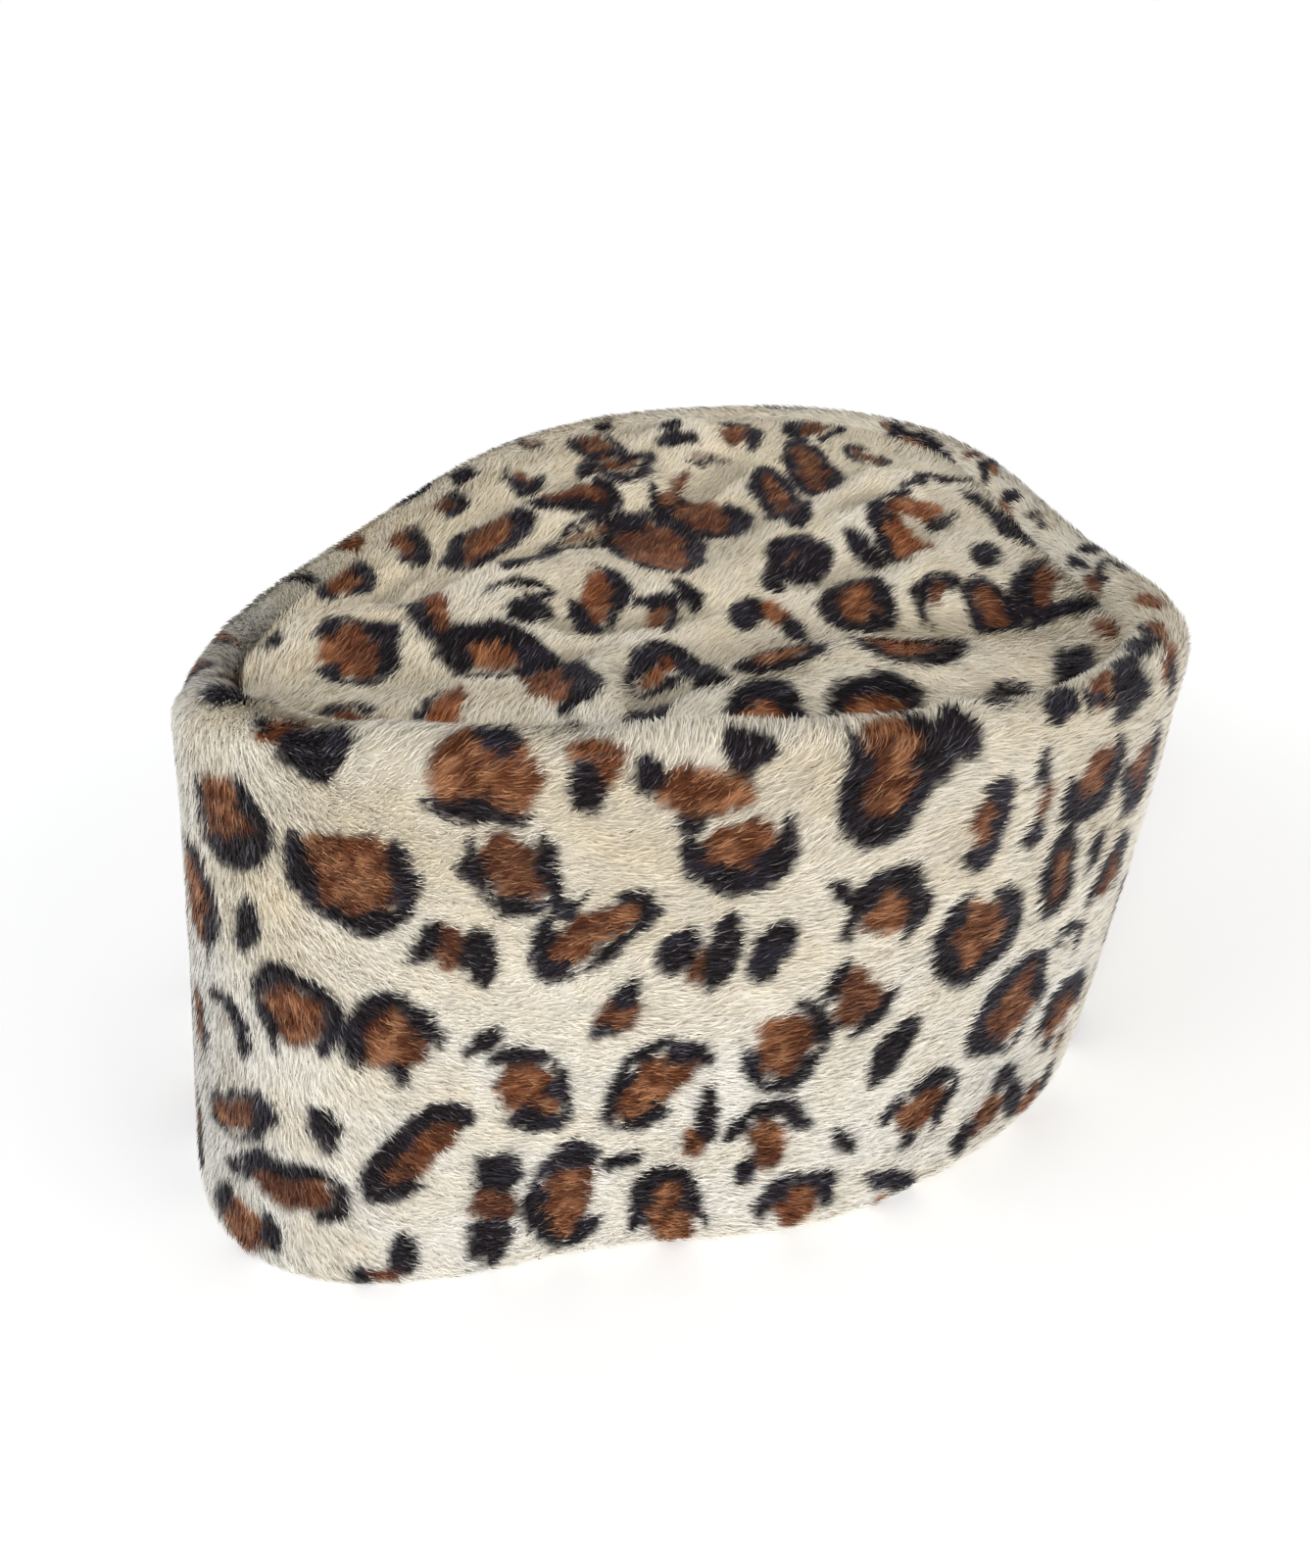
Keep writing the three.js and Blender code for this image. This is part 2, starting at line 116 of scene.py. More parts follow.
# ---- spots of the print ------------------------------------------------------------
# name, place (two cloth coordinates), long and cross size, lean of the first axis,
# kind, core. Kind is "solid" (dark), "brown", or the dark strokes of the ring: from and
# to (degrees, seen from the middle) and thickness. Core is how much of the ring's
# inside is brown. On the band the place is the way around and the way up over the
# ridge; on the crown it is the plan place.
FRONT_SPOTS = (
    ("f01", 316, 42, 12, 18, 0, ((-70, 70, 3.5),), .9),
    ("f02", 332.5, 49.5, 14, 11.5, 0, ((-60, 160, 4),), .4),
    ("f03", 352.7, 34.5, 5.5, 9, 0, "solid", 0),
    ("f04", 333, 31, 23, 10, 27, ((60, 230, 1.8), (-40, 60, 4), (230, 320, .8)), 1),
    ("f05", 344, 19.5, 22, 14, 0, ((20, 190, 5), (-50, 20, 3)), .85),
    ("f05b", 330, 18.5, 5.5, 3.6, 20, "solid", 0),
    ("f06", 331.5, 6.5, 21, 14, 0, ((110, 200, 5), (-20, 40, 4.5), (250, 290, 1.2)), 1),
    ("f07", 363.2, 7, 5, 10, 0, "solid", 0),
    ("f07b", 359.5, 2.8, 6, 3.5, 0, "brown", 1),
    ("f07c", 355.3, 2.3, 3, 4.5, 0, "solid", 0),
    ("f08", 368, 29, 26, 12, 45, ((30, 280, 4),), .9),
    ("f09a", 381, 23.5, 9.5, 8, 78, "solid", 0),
    ("f09b", 379.3, 16.2, 8, 8, 78, "brown", 1),
    ("f09c", 377.5, 8, 11, 7.5, 78, "solid", 0),
    ("f10", 392, 15.5, 26, 15, 80, ((50, 130, 5), (130, 260, 4), (260, 310, 4.5)), .9),
    ("f10b", 402.5, 22.5, 7.5, 3, 20, "solid", 0),
    ("f11", 382.5, 51.8, 9, 3.5, 40, "solid", 0),
    ("f12", 350.5, 57, 18.6, 18, 0, ((-60, 240, 3),), .9),
    ("f13", 367.5, 53.5, 17, 19, 0, ((-15, 225, 3.5),), .9),
    ("f13b", 367.7, 46.5, 3.5, 5, 0, "solid", 0),
    ("f14", 342.8, 71.5, 11, 6, 60, "solid", 0),
    ("f15", 322, 69.5, 24, 22, 0, ((-70, 120, 3.5),), .9),
    ("f16", 342, 91, 20, 20, 0, ((150, 210, 3), (210, 420, 5)), .9),
    ("f17", 366.5, 85, 24, 20, 25, ((140, 215, 8), (215, 320, 3.5), (320, 400, 4)), 1),
    ("f18a", 376.8, 73, 9.5, 3.6, 60, "solid", 0),
    ("f18b", 384.5, 69.5, 12.5, 5, 90, "solid", 0),
    ("f18c", 380.5, 72, 10, 5, 90, "brown", 1),
    ("f19", 392.5, 86.5, 15, 18, 0, ((130, 230, 3.5), (230, 310, 2.5), (310, 410, 4.5)), .9),
    ("f20", 402, 73.5, 24, 12, 35, ((85, 150, 3), (150, 250, 3.5), (250, 330, 2), (330, 420, 2.5)), .9),
    ("f21a", 415.5, 69.8, 10, 6, 60, "solid", 0),
    ("f21b", 418.5, 66.5, 8, 4.5, 80, "brown", 1),
    ("f21c", 422, 68, 16, 5, 75, "solid", 0),
    ("f22", 429.5, 68, 11.5, 6, 65, "solid", 0),
    ("f23", 448, 72, 14, 17, 0, ((-70, 200, 4), (160, 215, 3)), .85),
    ("f23b", 441, 76.5, 9, 3.2, -60, "solid", 0),
    ("f24a", 405, 56, 10, 6, 45, "brown", 1),
    ("f24b", 407, 60.5, 6.5, 3.5, 60, "solid", 0),
    ("f24c", 402, 53, 4, 3, 0, "solid", 0),
    ("f25", 388.5, 41, 15, 20, 0, ((50, 130, 2.5), (-50, 50, 3.5), (230, 310, 6.5)), .9),
    ("f26", 410, 41, 24, 14, 45, ((130, 230, 3), (80, 130, 3.5), (20, 80, 6), (230, 290, 4)), .9),
    ("f27a", 418.5, 32.5, 14, 4.2, 85, "solid", 0),
    ("f27b", 416, 26.5, 7, 4.5, 90, "brown", 1),
    ("f28", 410, 9, 15, 23, 0, ((-30, 215, 4),), .9),
    ("f29", 432, 47.5, 16, 20, 0, ((180, 250, 3), (250, 300, 3.5), (300, 340, 6), (-20, 80, 3)), .9),
    ("f30", 429.5, 27.5, 15, 16, 0, ((-10, 190, 3.5),), 0),
    ("f30b", 429.5, 25, 6.5, 14, 0, "brown", 1),
    ("f30c", 425.3, 18.3, 7, 3.5, 65, "solid", 0),
    ("f31", 434.8, 8, 15.5, 17, 0, ((-30, 210, 3.5),), .85),
    ("f32", 444.2, 20.8, 9.5, 4, -65, "solid", 0),
    ("f33", 451.5, 40, 16, 6.5, 62, "solid", 0),
    ("f34", 444, 55, 13, 17, 0, ((100, 170, 4.5), (270, 370, 3.5)), .9),
    ("f35", 460, 23, 17, 17, 0, ((-60, 30, 4.5), (30, 120, 3.5), (120, 180, 3)), .85),
    ("f35b", 458, 16, 3.5, 5.5, 0, "solid", 0),
    ("f36a", 456, 6, 15, 5, -32, "solid", 0),
    ("f36b", 454.5, 2, 5, 2, 0, "brown", 1),
    ("f37", 478.7, 38, 19, 23.5, 0, ((-30, 280, 4), (280, 330, 1.2)), .9),
    ("f38", 493, 45.5, 10.5, 10.5, 0, ((-50, 170, 2.5),), .5),
    ("f39a", 482.5, 19, 7.5, 6, 0, "solid", 0),
    ("f39b", 473.2, 9, 5.5, 9, 0, "solid", 0),
    ("f39c", 479, 11, 11, 9, 50, "brown", 1),
    ("f40a", 488.3, 10, 13, 6.5, -70, "solid", 0),
    ("f40b", 496, 5.5, 9, 7, 0, "brown", 1),
    ("f40c", 503, 6.5, 8, 5, 90, "solid", 0),
    ("f41", 499, 26, 18, 18, 0, ((-20, 200, 4),), .85),
    ("f41b", 496.5, 19, 4, 4, 0, "solid", 0),
    ("f41c", 503.5, 15.5, 5, 5, 0, "brown", 1),
    ("f42", 504, 54.5, 13, 17, 0, ((-40, 215, 3.5),), .85),
    ("f43", 466.5, 60, 19, 21, 0, ((105, 440, 3.8),), .9),
    ("f44", 484.2, 64.5, 18.5, 9.5, 97, ((0, 360, 3),), .9),
    ("f45", 494.7, 64.8, 8.5, 5.5, 90, "solid", 0),
    ("f46", 489, 81.5, 16, 18, 0, ((160, 420, 5),), .85),
    ("f47", 506.5, 75.5, 15, 18, 0, ((150, 430, 4.5),), .85),
    ("f48a", 474.3, 89.3, 7.5, 3.8, 100, "solid", 0),
    ("f48b", 475.8, 82.5, 8, 3, 90, "brown", 1),
    ("f48c", 475, 76.5, 4.6, 6, 0, "solid", 0),
    ("f49", 463.5, 83.5, 10, 18, 0, ((-120, 110, 4),), .85),
    ("f50", 447, 98.5, 17, 26, -10, ((120, 430, 4.2),), .9),
    ("f51", 425, 88, 16, 17, 0, ((150, 400, 4.5),), .9),
    ("f52", 420, 99, 13, 10, 0, "brown", 1),
    ("f52b", 413, 102, 6, 3.5, 90, "solid", 0),
    ("f52c", 418, 93.5, 5, 3, 0, "solid", 0),
    ("f53a", 404.3, 100, 11, 4.5, 90, "solid", 0),
    ("f53b", 406.5, 105.5, 12, 7, 90, "brown", 1),
    ("f54", 391, 104, 21, 19, 0, ((205, 300, 5),), 1),
    ("f55a", 363.5, 107, 14, 11, 0, "solid", 0),
    ("f55b", 356, 110.5, 11, 8, 0, "brown", 1),
    ("f56", 457.5, 102, 6, 8, 0, "solid", 0),
    ("f57", 469.7, 104, 8.5, 4.5, 0, "solid", 0),
    ("f59", 504.5, 100, 8, 4.5, 0, "solid", 0),
    ("f60", 513, 90, 5.5, 7, 0, "solid", 0),
)
RIDGE_SPOTS = (
    ("left_rim", 212.8, 100.3, 9.5, 3.6, -60, "solid", 0),
    ("left_end", 245.3, 94.9, 12.2, 6.4, 56, ((233, 382, 1.6),), 1),
    ("left_bar", 335.0, 113.5, 10.1, 8.9, 35, "solid", 0),
    ("rear_dab_a", 152.9, 115.6, 16.0, 5.9, -54, "solid", 0),
    ("rear_slip", 130.2, 117.8, 17.9, 4.8, -44, ((313, 501, 2.2),), 1),
    ("rear_patch", 109.2, 117.4, 10.9, 4.2, -10, ((276, 473, 3.0),), 0.8),
    ("left_fleck", 194.0, 102.2, 8.7, 6.0, -33, "brown", 1),
    ("rear_hook", 35.4, 109.8, 9.3, 6.7, -3, ((124, 290, 3.0),), 0.9),
    ("rear_slant", 22.8, 112.1, 26.9, 6.9, 5, ((0, 360, 2.4),), 0.8),
    ("rear_slant_b", 20.8, 108.1, 9.8, 3.0, 1, "solid", 0),
    ("seam_brown", 609.6, 106.7, 9.6, 2.4, 11, "brown", 1),
    ("ridge_spot", 624.7, 102.8, 11.6, 8.7, -6, ((278, 492, 3.4),), 0.9),
    ("ridge_brown", 6.9, 104.7, 5.5, 3.4, 42, "brown", 1),
    ("ridge_dab", 611.0, 103.4, 7.9, 3.4, 24, "solid", 0),
    ("ridge_mix", 593.4, 99.9, 14.2, 4.1, 14, ((332, 512, 1.6),), 0.9),
    ("edge_b", 481.8, 99.6, 12.4, 5.2, 25, "solid", 0),
    ("right_brown", 492.1, 98.1, 16.2, 7.9, 22, ((148, 203, 1.6),), 1),
    ("right_black", 497.6, 94.7, 13.8, 7.6, 29, "solid", 0),
    ("right_black_b", 489.4, 96.3, 3.7, 3.4, 18, "solid", 0),
    ("right_top", 514.7, 100.8, 13.9, 4.9, 21, "solid", 0),
    ("corner_ring", 522.7, 98.0, 16.6, 6.0, 16, ((34, 194, 2.2),), 1),
    ("corner_brown", 540.2, 98.1, 9.3, 5.5, 9, "brown", 1),
    ("side_bar", 512.8, 93.1, 13.1, 3.4, 17, "brown", 1),
    ("ridge_stroke", 572.1, 101.3, 9.6, 2.4, 3, "solid", 0),
    ("ridge_rust", 561.9, 102.7, 10.2, 2.9, -10, "brown", 1),
    ("ridge_arc", 558.0, 98.6, 18.0, 8.4, -13, ((284, 441, 2.4),), 0),
    ("ridge_fleck", 574.6, 96.1, 6.1, 4.4, -15, "solid", 0),
    ("front_tip_left", 350.5, 111.3, 5.5, 2.4, -35, "solid", 0),
    ("top_dark_a", 392.5, 110.3, 8.1, 5.9, -55, "solid", 0),
    ("top_dark_b", 426.6, 105.8, 8.1, 6.9, 60, "solid", 0),
)
CROWN_SPOTS = (
    ("left_big", -47.5, 16.2, 25.0, 16.2, 77, ((264, 428, 4.2), (68, 111, 2.6), (175, 234, 6.0), (234, 264, 1.6)), 1),
    ("left_top", -25.0, 66.0, 18.1, 13.1, 70, ((255, 419, 3.6), (103, 237, 2.4)), 1),
    ("left_low", -26.8, 22.5, 38.0, 10.6, 68, ((109, 255, 4.0), (54, 75, 2.0)), 0.8),
    ("left_dab", -55.5, 36.4, 11.2, 2.8, 79, "solid", 0),
    ("left_curl", -63.4, 35.6, 10.5, 2.6, 81, ((65, 168, 2.4),), 0.9),
    ("valley_left", -59.5, -8.6, 17.9, 10.4, -74, ((18, 121, 1.8), (170, 290, 1.6)), 0.9),
    ("wedge", -49.5, -19.5, 27.9, 10.5, 49, ((62, 172, 1.4),), 1),
    ("rear_long", 1.4, 47.1, 20.7, 18.0, -32, ((263, 372, 3.6), (12, 86, 1.8), (86, 207, 3.8), (207, 263, 3.0)), 1),
    ("rear_dab_b", 5.4, 73.6, 14.6, 11.8, -85, ((247, 427, 3.0),), 0.9),
    ("rear_cup", 24.4, 65.4, 17.4, 7.8, 67, ((84, 349, 3.6),), 0.8),
    ("rear_ring_a", 48.8, 71.9, 28.7, 11.3, 77, ((54, 253, 2.6), (253, 414, 1.4)), 0.9),
    ("rear_ring_b", 43.4, 53.6, 25.6, 16.7, 68, ((0, 360, 2.6),), 0.8),
    ("rear_wide", 24.3, 43.7, 21.0, 11.4, -17, ((153, 377, 3.6),), 0.9),
    ("rear_streak", 19.1, 34.1, 19.9, 5.1, 7, ((3, 183, 1.4), (183, 363, 1.2)), 0.9),
    ("rear_shade", -1.6, 22.8, 28.7, 7.2, 38, "solid", 0),
    ("middle_big", 28.6, 20.7, 37.5, 20.7, 66, ((247, 414, 3.6), (54, 198, 2.6), (198, 247, 2.2)), 1),
    ("middle_right", 47.0, 27.3, 26.1, 17.7, 88, ((222, 367, 4.2), (97, 196, 2.6)), 1),
    ("crest_brown", 48.5, 39.5, 22.7, 5.7, 23, ((199, 315, 1.4),), 1),
    ("crest_thin", 65.2, 46.4, 11.6, 4.0, -17, ((172, 325, 1.0),), 1),
    ("rear_bean", 77.9, 50.1, 19.7, 11.2, 30, ((255, 469, 3.2),), 0.8),
    ("rear_grey", 61.7, 53.9, 9.2, 5.0, -26, "solid", 0),
    ("rear_grey_b", 65.1, 60.2, 7.2, 5.6, 17, "solid", 0),
    ("dark_centre", 0.7, 3.3, 22.8, 10.8, 46, ((238, 415, 4.0), (179, 236, 4.4)), 0.9),
    ("streak_small", -14.7, 7.4, 13.0, 5.4, -12, ((7, 164, 2.0), (257, 367, 3.4)), 0.5),
    ("smudge", -16.7, 2.1, 8.8, 5.1, 9, "solid", 0),
    ("left_arc", -7.7, 70.5, 29.0, 9.2, 79, ((237, 369, 3.0),), 1),
    ("spiky", -29.3, -4.3, 20.2, 15.0, -64, ((268, 548, 6.0), (188, 268, 2.0)), 0.75),
    ("hook", -28.0, -21.4, 29.7, 15.4, 67, ((241, 436, 5.2),), 0.85),
    ("small_arch", 6.8, -6.4, 14.0, 8.3, 33, ((249, 475, 2.4),), 0.85),
    ("smudge_b", 16.9, -4.9, 8.7, 4.1, 85, "solid", 0),
    ("nut", 23.3, -15.2, 10.7, 5.2, 35, "solid", 0),
    ("nut_brown", 28.5, -18.0, 7.9, 5.1, 87, "brown", 1),
    ("nut_end", 28.6, -23.5, 8.4, 4.1, 68, "solid", 0),
    ("m_mark", -3.9, -21.7, 18.7, 9.9, 28, ((293, 567, 4.4), (206, 292, 2.4)), 0.7),
    ("m_tail", -1.2, -32.0, 21.1, 5.4, 66, "solid", 0),
    ("behind_ridge", -18.0, -37.3, 18.1, 4.5, 32, "solid", 0),
    ("arch_left", -5.9, -52.9, 16.9, 13.6, 15, ((294, 538, 5.4),), 0.9),
    ("arch_right", 11.5, -61.8, 17.6, 13.9, -0, ((309, 526, 4.8),), 0.9),
    ("right_long", 81.9, 27.2, 38.0, 11.5, 59, ((0, 360, 2.2), (210, 286, 4.0)), 1),
    ("right_dark", 65.1, 20.3, 38.0, 9.7, 60, ((0, 360, 2.4), (216, 259, 4.2)), 0.9),
    ("rear_pair", 102.1, 47.6, 19.8, 14.8, 28, ((53, 223, 5.0), (230, 355, 2.2)), 0.8),
    ("rear_comma", 98.4, 25.1, 19.2, 6.6, 75, ((44, 217, 1.6), (236, 320, 2.2)), 1),
    ("crest_arc", 95.1, -2.1, 29.8, 13.3, 11, ((358, 529, 2.4),), 0),
    ("crest_ring", 82.5, -5.8, 22.0, 11.7, -15, ((48, 189, 1.8), (244, 344, 2.4)), 0.9),
    ("crest_big", 72.0, -11.7, 20.6, 12.8, 77, ((60, 232, 3.0),), 1),
    ("crest_bar", 61.4, -9.9, 9.8, 4.8, 87, "solid", 0),
    ("cup", 46.4, -5.4, 16.0, 12.0, 10, ((0, 360, 6.0),), 0.5),
    ("cup_tail", 35.7, -9.6, 6.2, 3.8, 41, "solid", 0),
    ("right_dab", 80.4, -27.9, 11.4, 5.9, 43, "solid", 0),
    ("seam_streak", 95.8, -24.5, 17.6, 7.5, 72, "solid", 0),
    ("seam_streak_b", 100.5, -10.4, 13.1, 3.3, 76, "solid", 0),
    ("oval_ring", 46.1, -23.8, 19.8, 15.8, 43, ((0, 360, 3.4),), 1),
    ("c_mark", 61.0, -31.5, 14.0, 8.7, 35, ((322, 581, 3.2),), 0.7),
    ("seed_ring", 67.3, -41.3, 17.0, 9.3, 64, ((0, 360, 2.4),), 1),
    ("d_mark", 78.4, -44.5, 25.5, 10.2, 36, ((30, 240, 5.0),), 0.9),
    ("crest_r1", 77.9, -56.6, 17.0, 6.1, -49, "solid", 0),
    ("crest_r2", 63.9, -50.5, 13.6, 3.4, -43, "solid", 0),
    ("flat_long", 29.4, -53.0, 20.0, 15.0, -62, ((0, 360, 2.0), (232, 391, 4.0)), 1),
    ("flat_left", 10.7, -40.0, 17.6, 9.4, -26, ((0, 360, 2.2),), 0.95),
    ("right_solid", 49.2, -75.4, 18.8, 5.7, 28, "solid", 0),
    ("edge_a", 32.8, -74.7, 7.3, 4.7, -55, "solid", 0),
    ("right_swirl", 68.9, -67.4, 10.9, 2.7, 51, "brown", 1),
)

# ---- lay of the pile: name, place, direction of the tips in degrees, reach ------------
BAND_LAY = (
    ("ridge_right", 468, 106, -35, 11), ("ridge_tufts", 418, 110, 115, 9),
    ("ruffle", 428, 99, 62, 14), ("ruffle_pale", 449, 108, 85, 9),
    ("left_end", 298, 75, -95, 46), ("left_end_low", 298, 20, -85, 46),
)
BAND_LAY_BASE = 26.0
CROWN_LAY = (
    ("front_slope", 34, -60, -88, 20), ("front_slope_b", 66, -52, -80, 20),
    ("front_slope_c", 4, -52, -68, 14), ("hook", -31, -26, 34, 15),
)
CROWN_LAY_BASE = 10.0

# ---- outline functions -------------------------------------------------------------
TABLE_ANGLES = np.linspace(0.0, 2 * np.pi, 2881)


def around(column):
    values = sum(r[column] * np.cos(r[0] * TABLE_ANGLES) + r[column + 1] * np.sin(r[0] * TABLE_ANGLES) for r in OUTLINE)
    return lambda a: np.interp(np.mod(a, 2 * np.pi), TABLE_ANGLES, values)


rim, top, high, bulge, sink = (around(c) for c in (1, 3, 5, 7, 9))


def wall_radius(a, up):
    return rim(a) * (1 - up) + top(a) * up + bulge(a) * 4 * up * (1 - up)


def seam_radius(a):
    return top(a) - 2 * RIDGE - SEAM_GAP


def plan_middle():
    """Middle of the faceted outline's box, so this form lies on the CAD form."""
    a = 2 * np.pi * np.arange(84) / 84
    wall_top = high(a) - RIDGE
    radii = [wall_radius(a, (RIM_ROUND + (wall_top - RIM_ROUND) * i / 9) / wall_top) for i in range(10)]
    r = np.max(radii, axis=0)
    x, y = r * np.cos(a), r * np.sin(a)
    return (x.min() + x.max()) / 2, (y.min() + y.max()) / 2


MID_X, MID_Y = plan_middle()
_m = wall_radius(TABLE_ANGLES, 50.0 / (high(TABLE_ANGLES) - RIDGE))
_arc = np.r_[0, np.cumsum(np.hypot(np.diff(_m * np.cos(TABLE_ANGLES)), np.diff(_m * np.sin(TABLE_ANGLES))))]
PERIMETER = float(_arc[-1])


def angle_at(u):
    return np.interp(np.mod(u, PERIMETER), _arc, TABLE_ANGLES)


def band_length(a):
    """Way from the rim over the ridge and down to the seam."""
    return high(a) - RIDGE + np.pi * RIDGE + np.maximum(0.5, sink(a) - RIDGE + 3.0)


def ridge_swell(u, v, wall_top):
    """The front of the ridge is lumpy: soft lobes that stand out and up a little."""
    front = np.clip((u - 318) / 24, 0, 1) * np.clip((486 - u) / 30, 0, 1)
    rise = np.clip((v - wall_top + 13) / 14, 0, 1) * np.clip((wall_top + 0.85 * np.pi * RIDGE - v) / 7, 0, 1)
    return front * rise * rise * (3 - 2 * rise) * np.clip(3.4 * noise(u, 0 * v, 15, 77) + 0.4, -1.8, 2.6)


def band_point(u, v, h):
    a = angle_at(u)
    wall_top = high(a) - RIDGE
    inset = FUR - h - ridge_swell(u, v, wall_top)
    on = np.clip(v, 0.0, wall_top)
    low = np.maximum(0.0, RIM_ROUND - v) ** 2 / (2 * RIM_ROUND)
    phi = np.clip((v - wall_top) / RIDGE, 0.0, np.pi)
    lip = np.maximum(0.0, v - wall_top - np.pi * RIDGE)
    bend = RIDGE - inset
    r = np.where(v <= wall_top, wall_radius(a, on / wall_top) - inset - low, top(a) - RIDGE + bend * np.cos(phi))
    z = np.where(v <= wall_top, np.maximum(on, 0.25), wall_top + bend * np.sin(phi) - lip)
    return np.stack([r * np.cos(a) - MID_X, r * np.sin(a) - MID_Y, z], -1)


def fold_rise(rows, x, y):
    nearest, out = np.full(x.shape, np.inf), np.zeros(x.shape)
    for p, q in zip(rows, rows[1:]):
        dx, dy = q[1] - p[1], q[2] - p[2]
        t = np.clip(((x - p[1]) * dx + (y - p[2]) * dy) / (dx * dx + dy * dy), 0, 1)
        ox, oy = x - p[1] - t * dx, y - p[2] - t * dy
        d = np.hypot(ox, oy)
        b = 0.5 + 0.5 * np.tanh((NEAR_SIDE[0] * ox + NEAR_SIDE[1] * oy) / 4)
        width = (p[4] + (q[4] - p[4]) * t) * b + (p[5] + (q[5] - p[5]) * t) * (1 - b)
        value = (p[3] + (q[3] - p[3]) * t) * np.exp(-(d / width) ** 2)
        use = d < nearest
        nearest, out = np.where(use, d, nearest), np.where(use, value, out)
    return out


CREASES = FOLDS + PLEATS
FOLD_SETS = [[r for r in CREASES if r[0] == name] for name in dict.fromkeys(r[0] for r in CREASES)]


def crown_height(x, y):
    a = np.arctan2(y, x)
    s = np.clip(np.hypot(x, y) / seam_radius(a), 0, 1)
    seam = high(a) - sink(a)
    fade = 1 - np.maximum(0, (s - 0.8) / 0.2) ** 2
    rise = sum(fold_rise(f, x, y) for f in FOLD_SETS)
    rise = rise + sum(r * np.exp(-((x - cx) ** 2 + (y - cy) ** 2) / SWELL_WIDTH ** 2) for cx, cy, r in SWELLS)
    return CROWN_MIDDLE + (seam - CROWN_MIDDLE) * s * s * (3 - 2 * s) + fade * rise


def crown_normal(x, y):
    e = 0.6
    gx = (crown_height(x + e, y) - crown_height(x - e, y)) / (2 * e)
    gy = (crown_height(x, y + e) - crown_height(x, y - e)) / (2 * e)
    n = np.stack([-gx, -gy, np.ones_like(gx)], -1)
    return n / np.linalg.norm(n, axis=-1, keepdims=True)


def crown_point(x, y, h):
    a = np.arctan2(y, x)
    k = np.minimum(1.0, (seam_radius(a) - 0.2) / np.maximum(np.hypot(x, y), 1e-6))
    x, y = x * k, y * k
    n = crown_normal(x, y)
    p = np.stack([x, y, crown_height(x, y)], -1) + n * (np.asarray(h) - FUR)[..., None]
    return p - np.array([MID_X, MID_Y, 0.0])


# ---- seeded noise over the cloth ----------------------------------------------------
def lattice(ix, iy, seed):
    h = (ix.astype(np.int64) * 374761393 + iy.astype(np.int64) * 668265263 + seed * 1442695041) & 0xFFFFFFFF
    h = ((h ^ (h >> 13)) * 1274126177) & 0xFFFFFFFF
    h = ((h ^ (h >> 16)) * 2246822519) & 0xFFFFFFFF
    return (h ^ (h >> 15)) / 2147483648.0 - 1.0


def noise(x, y, scale, seed):
    x, y = np.asarray(x) / scale, np.asarray(y) / scale
    ix, iy = np.floor(x), np.floor(y)
    fx, fy = x - ix, y - iy
    fx, fy = fx * fx * (3 - 2 * fx), fy * fy * (3 - 2 * fy)
    a, b = lattice(ix, iy, seed), lattice(ix + 1, iy, seed)
    c, d = lattice(ix, iy + 1, seed), lattice(ix + 1, iy + 1, seed)
    return (a * (1 - fx) + b * fx) * (1 - fy) + (c * (1 - fx) + d * fx) * fy


def clump(x, y, cell, seed):
    """Nearest centre of a jittered grid of tufts."""
    gx, gy = np.floor(x / cell), np.floor(y / cell)
    best, bx, by = np.full(x.shape, np.inf), x.copy(), y.copy()
    for i in (-1, 0, 1):
        for j in (-1, 0, 1):
            px = (gx + i + 0.5 + 0.45 * lattice(gx + i, gy + j, seed)) * cell
            py = (gy + j + 0.5 + 0.45 * lattice(gx + i, gy + j, seed + 7)) * cell
            d = (px - x) ** 2 + (py - y) ** 2
            use = d < best
            best, bx, by = np.where(use, d, best), np.where(use, px, bx), np.where(use, py, by)
    return bx, by


# ---- the print ------------------------------------------------------------------------
CREAM_PALE = np.array([0.905, 0.87, 0.79])
CREAM_TAN = np.array([0.83, 0.73, 0.545])
BROWN = np.array([0.238, 0.070, 0.0225])
BROWN_DARK = np.array([0.085, 0.026, 0.013])
# painted highlight: colour of the golden glints in the brown
BROWN_HIGHLIGHT = np.array([0.62, 0.30, 0.145])
DARK = np.array([0.0110, 0.0070, 0.0085])
# painted sheen: bluish-lilac highlight colour added to the dark ink
DARK_PAINTED_SHEEN = np.array([0.036, 0.034, 0.060])
GROW = {True: 0.30, False: 0.65}    # how far the ink runs past the charted outline: band, crown
BOLD = 1.15          # thickness of the dark strokes against the chart


def smooth(x, lo, hi):
    t = np.clip((x - lo) / (hi - lo), 0, 1)
    return t * t * (3 - 2 * t)


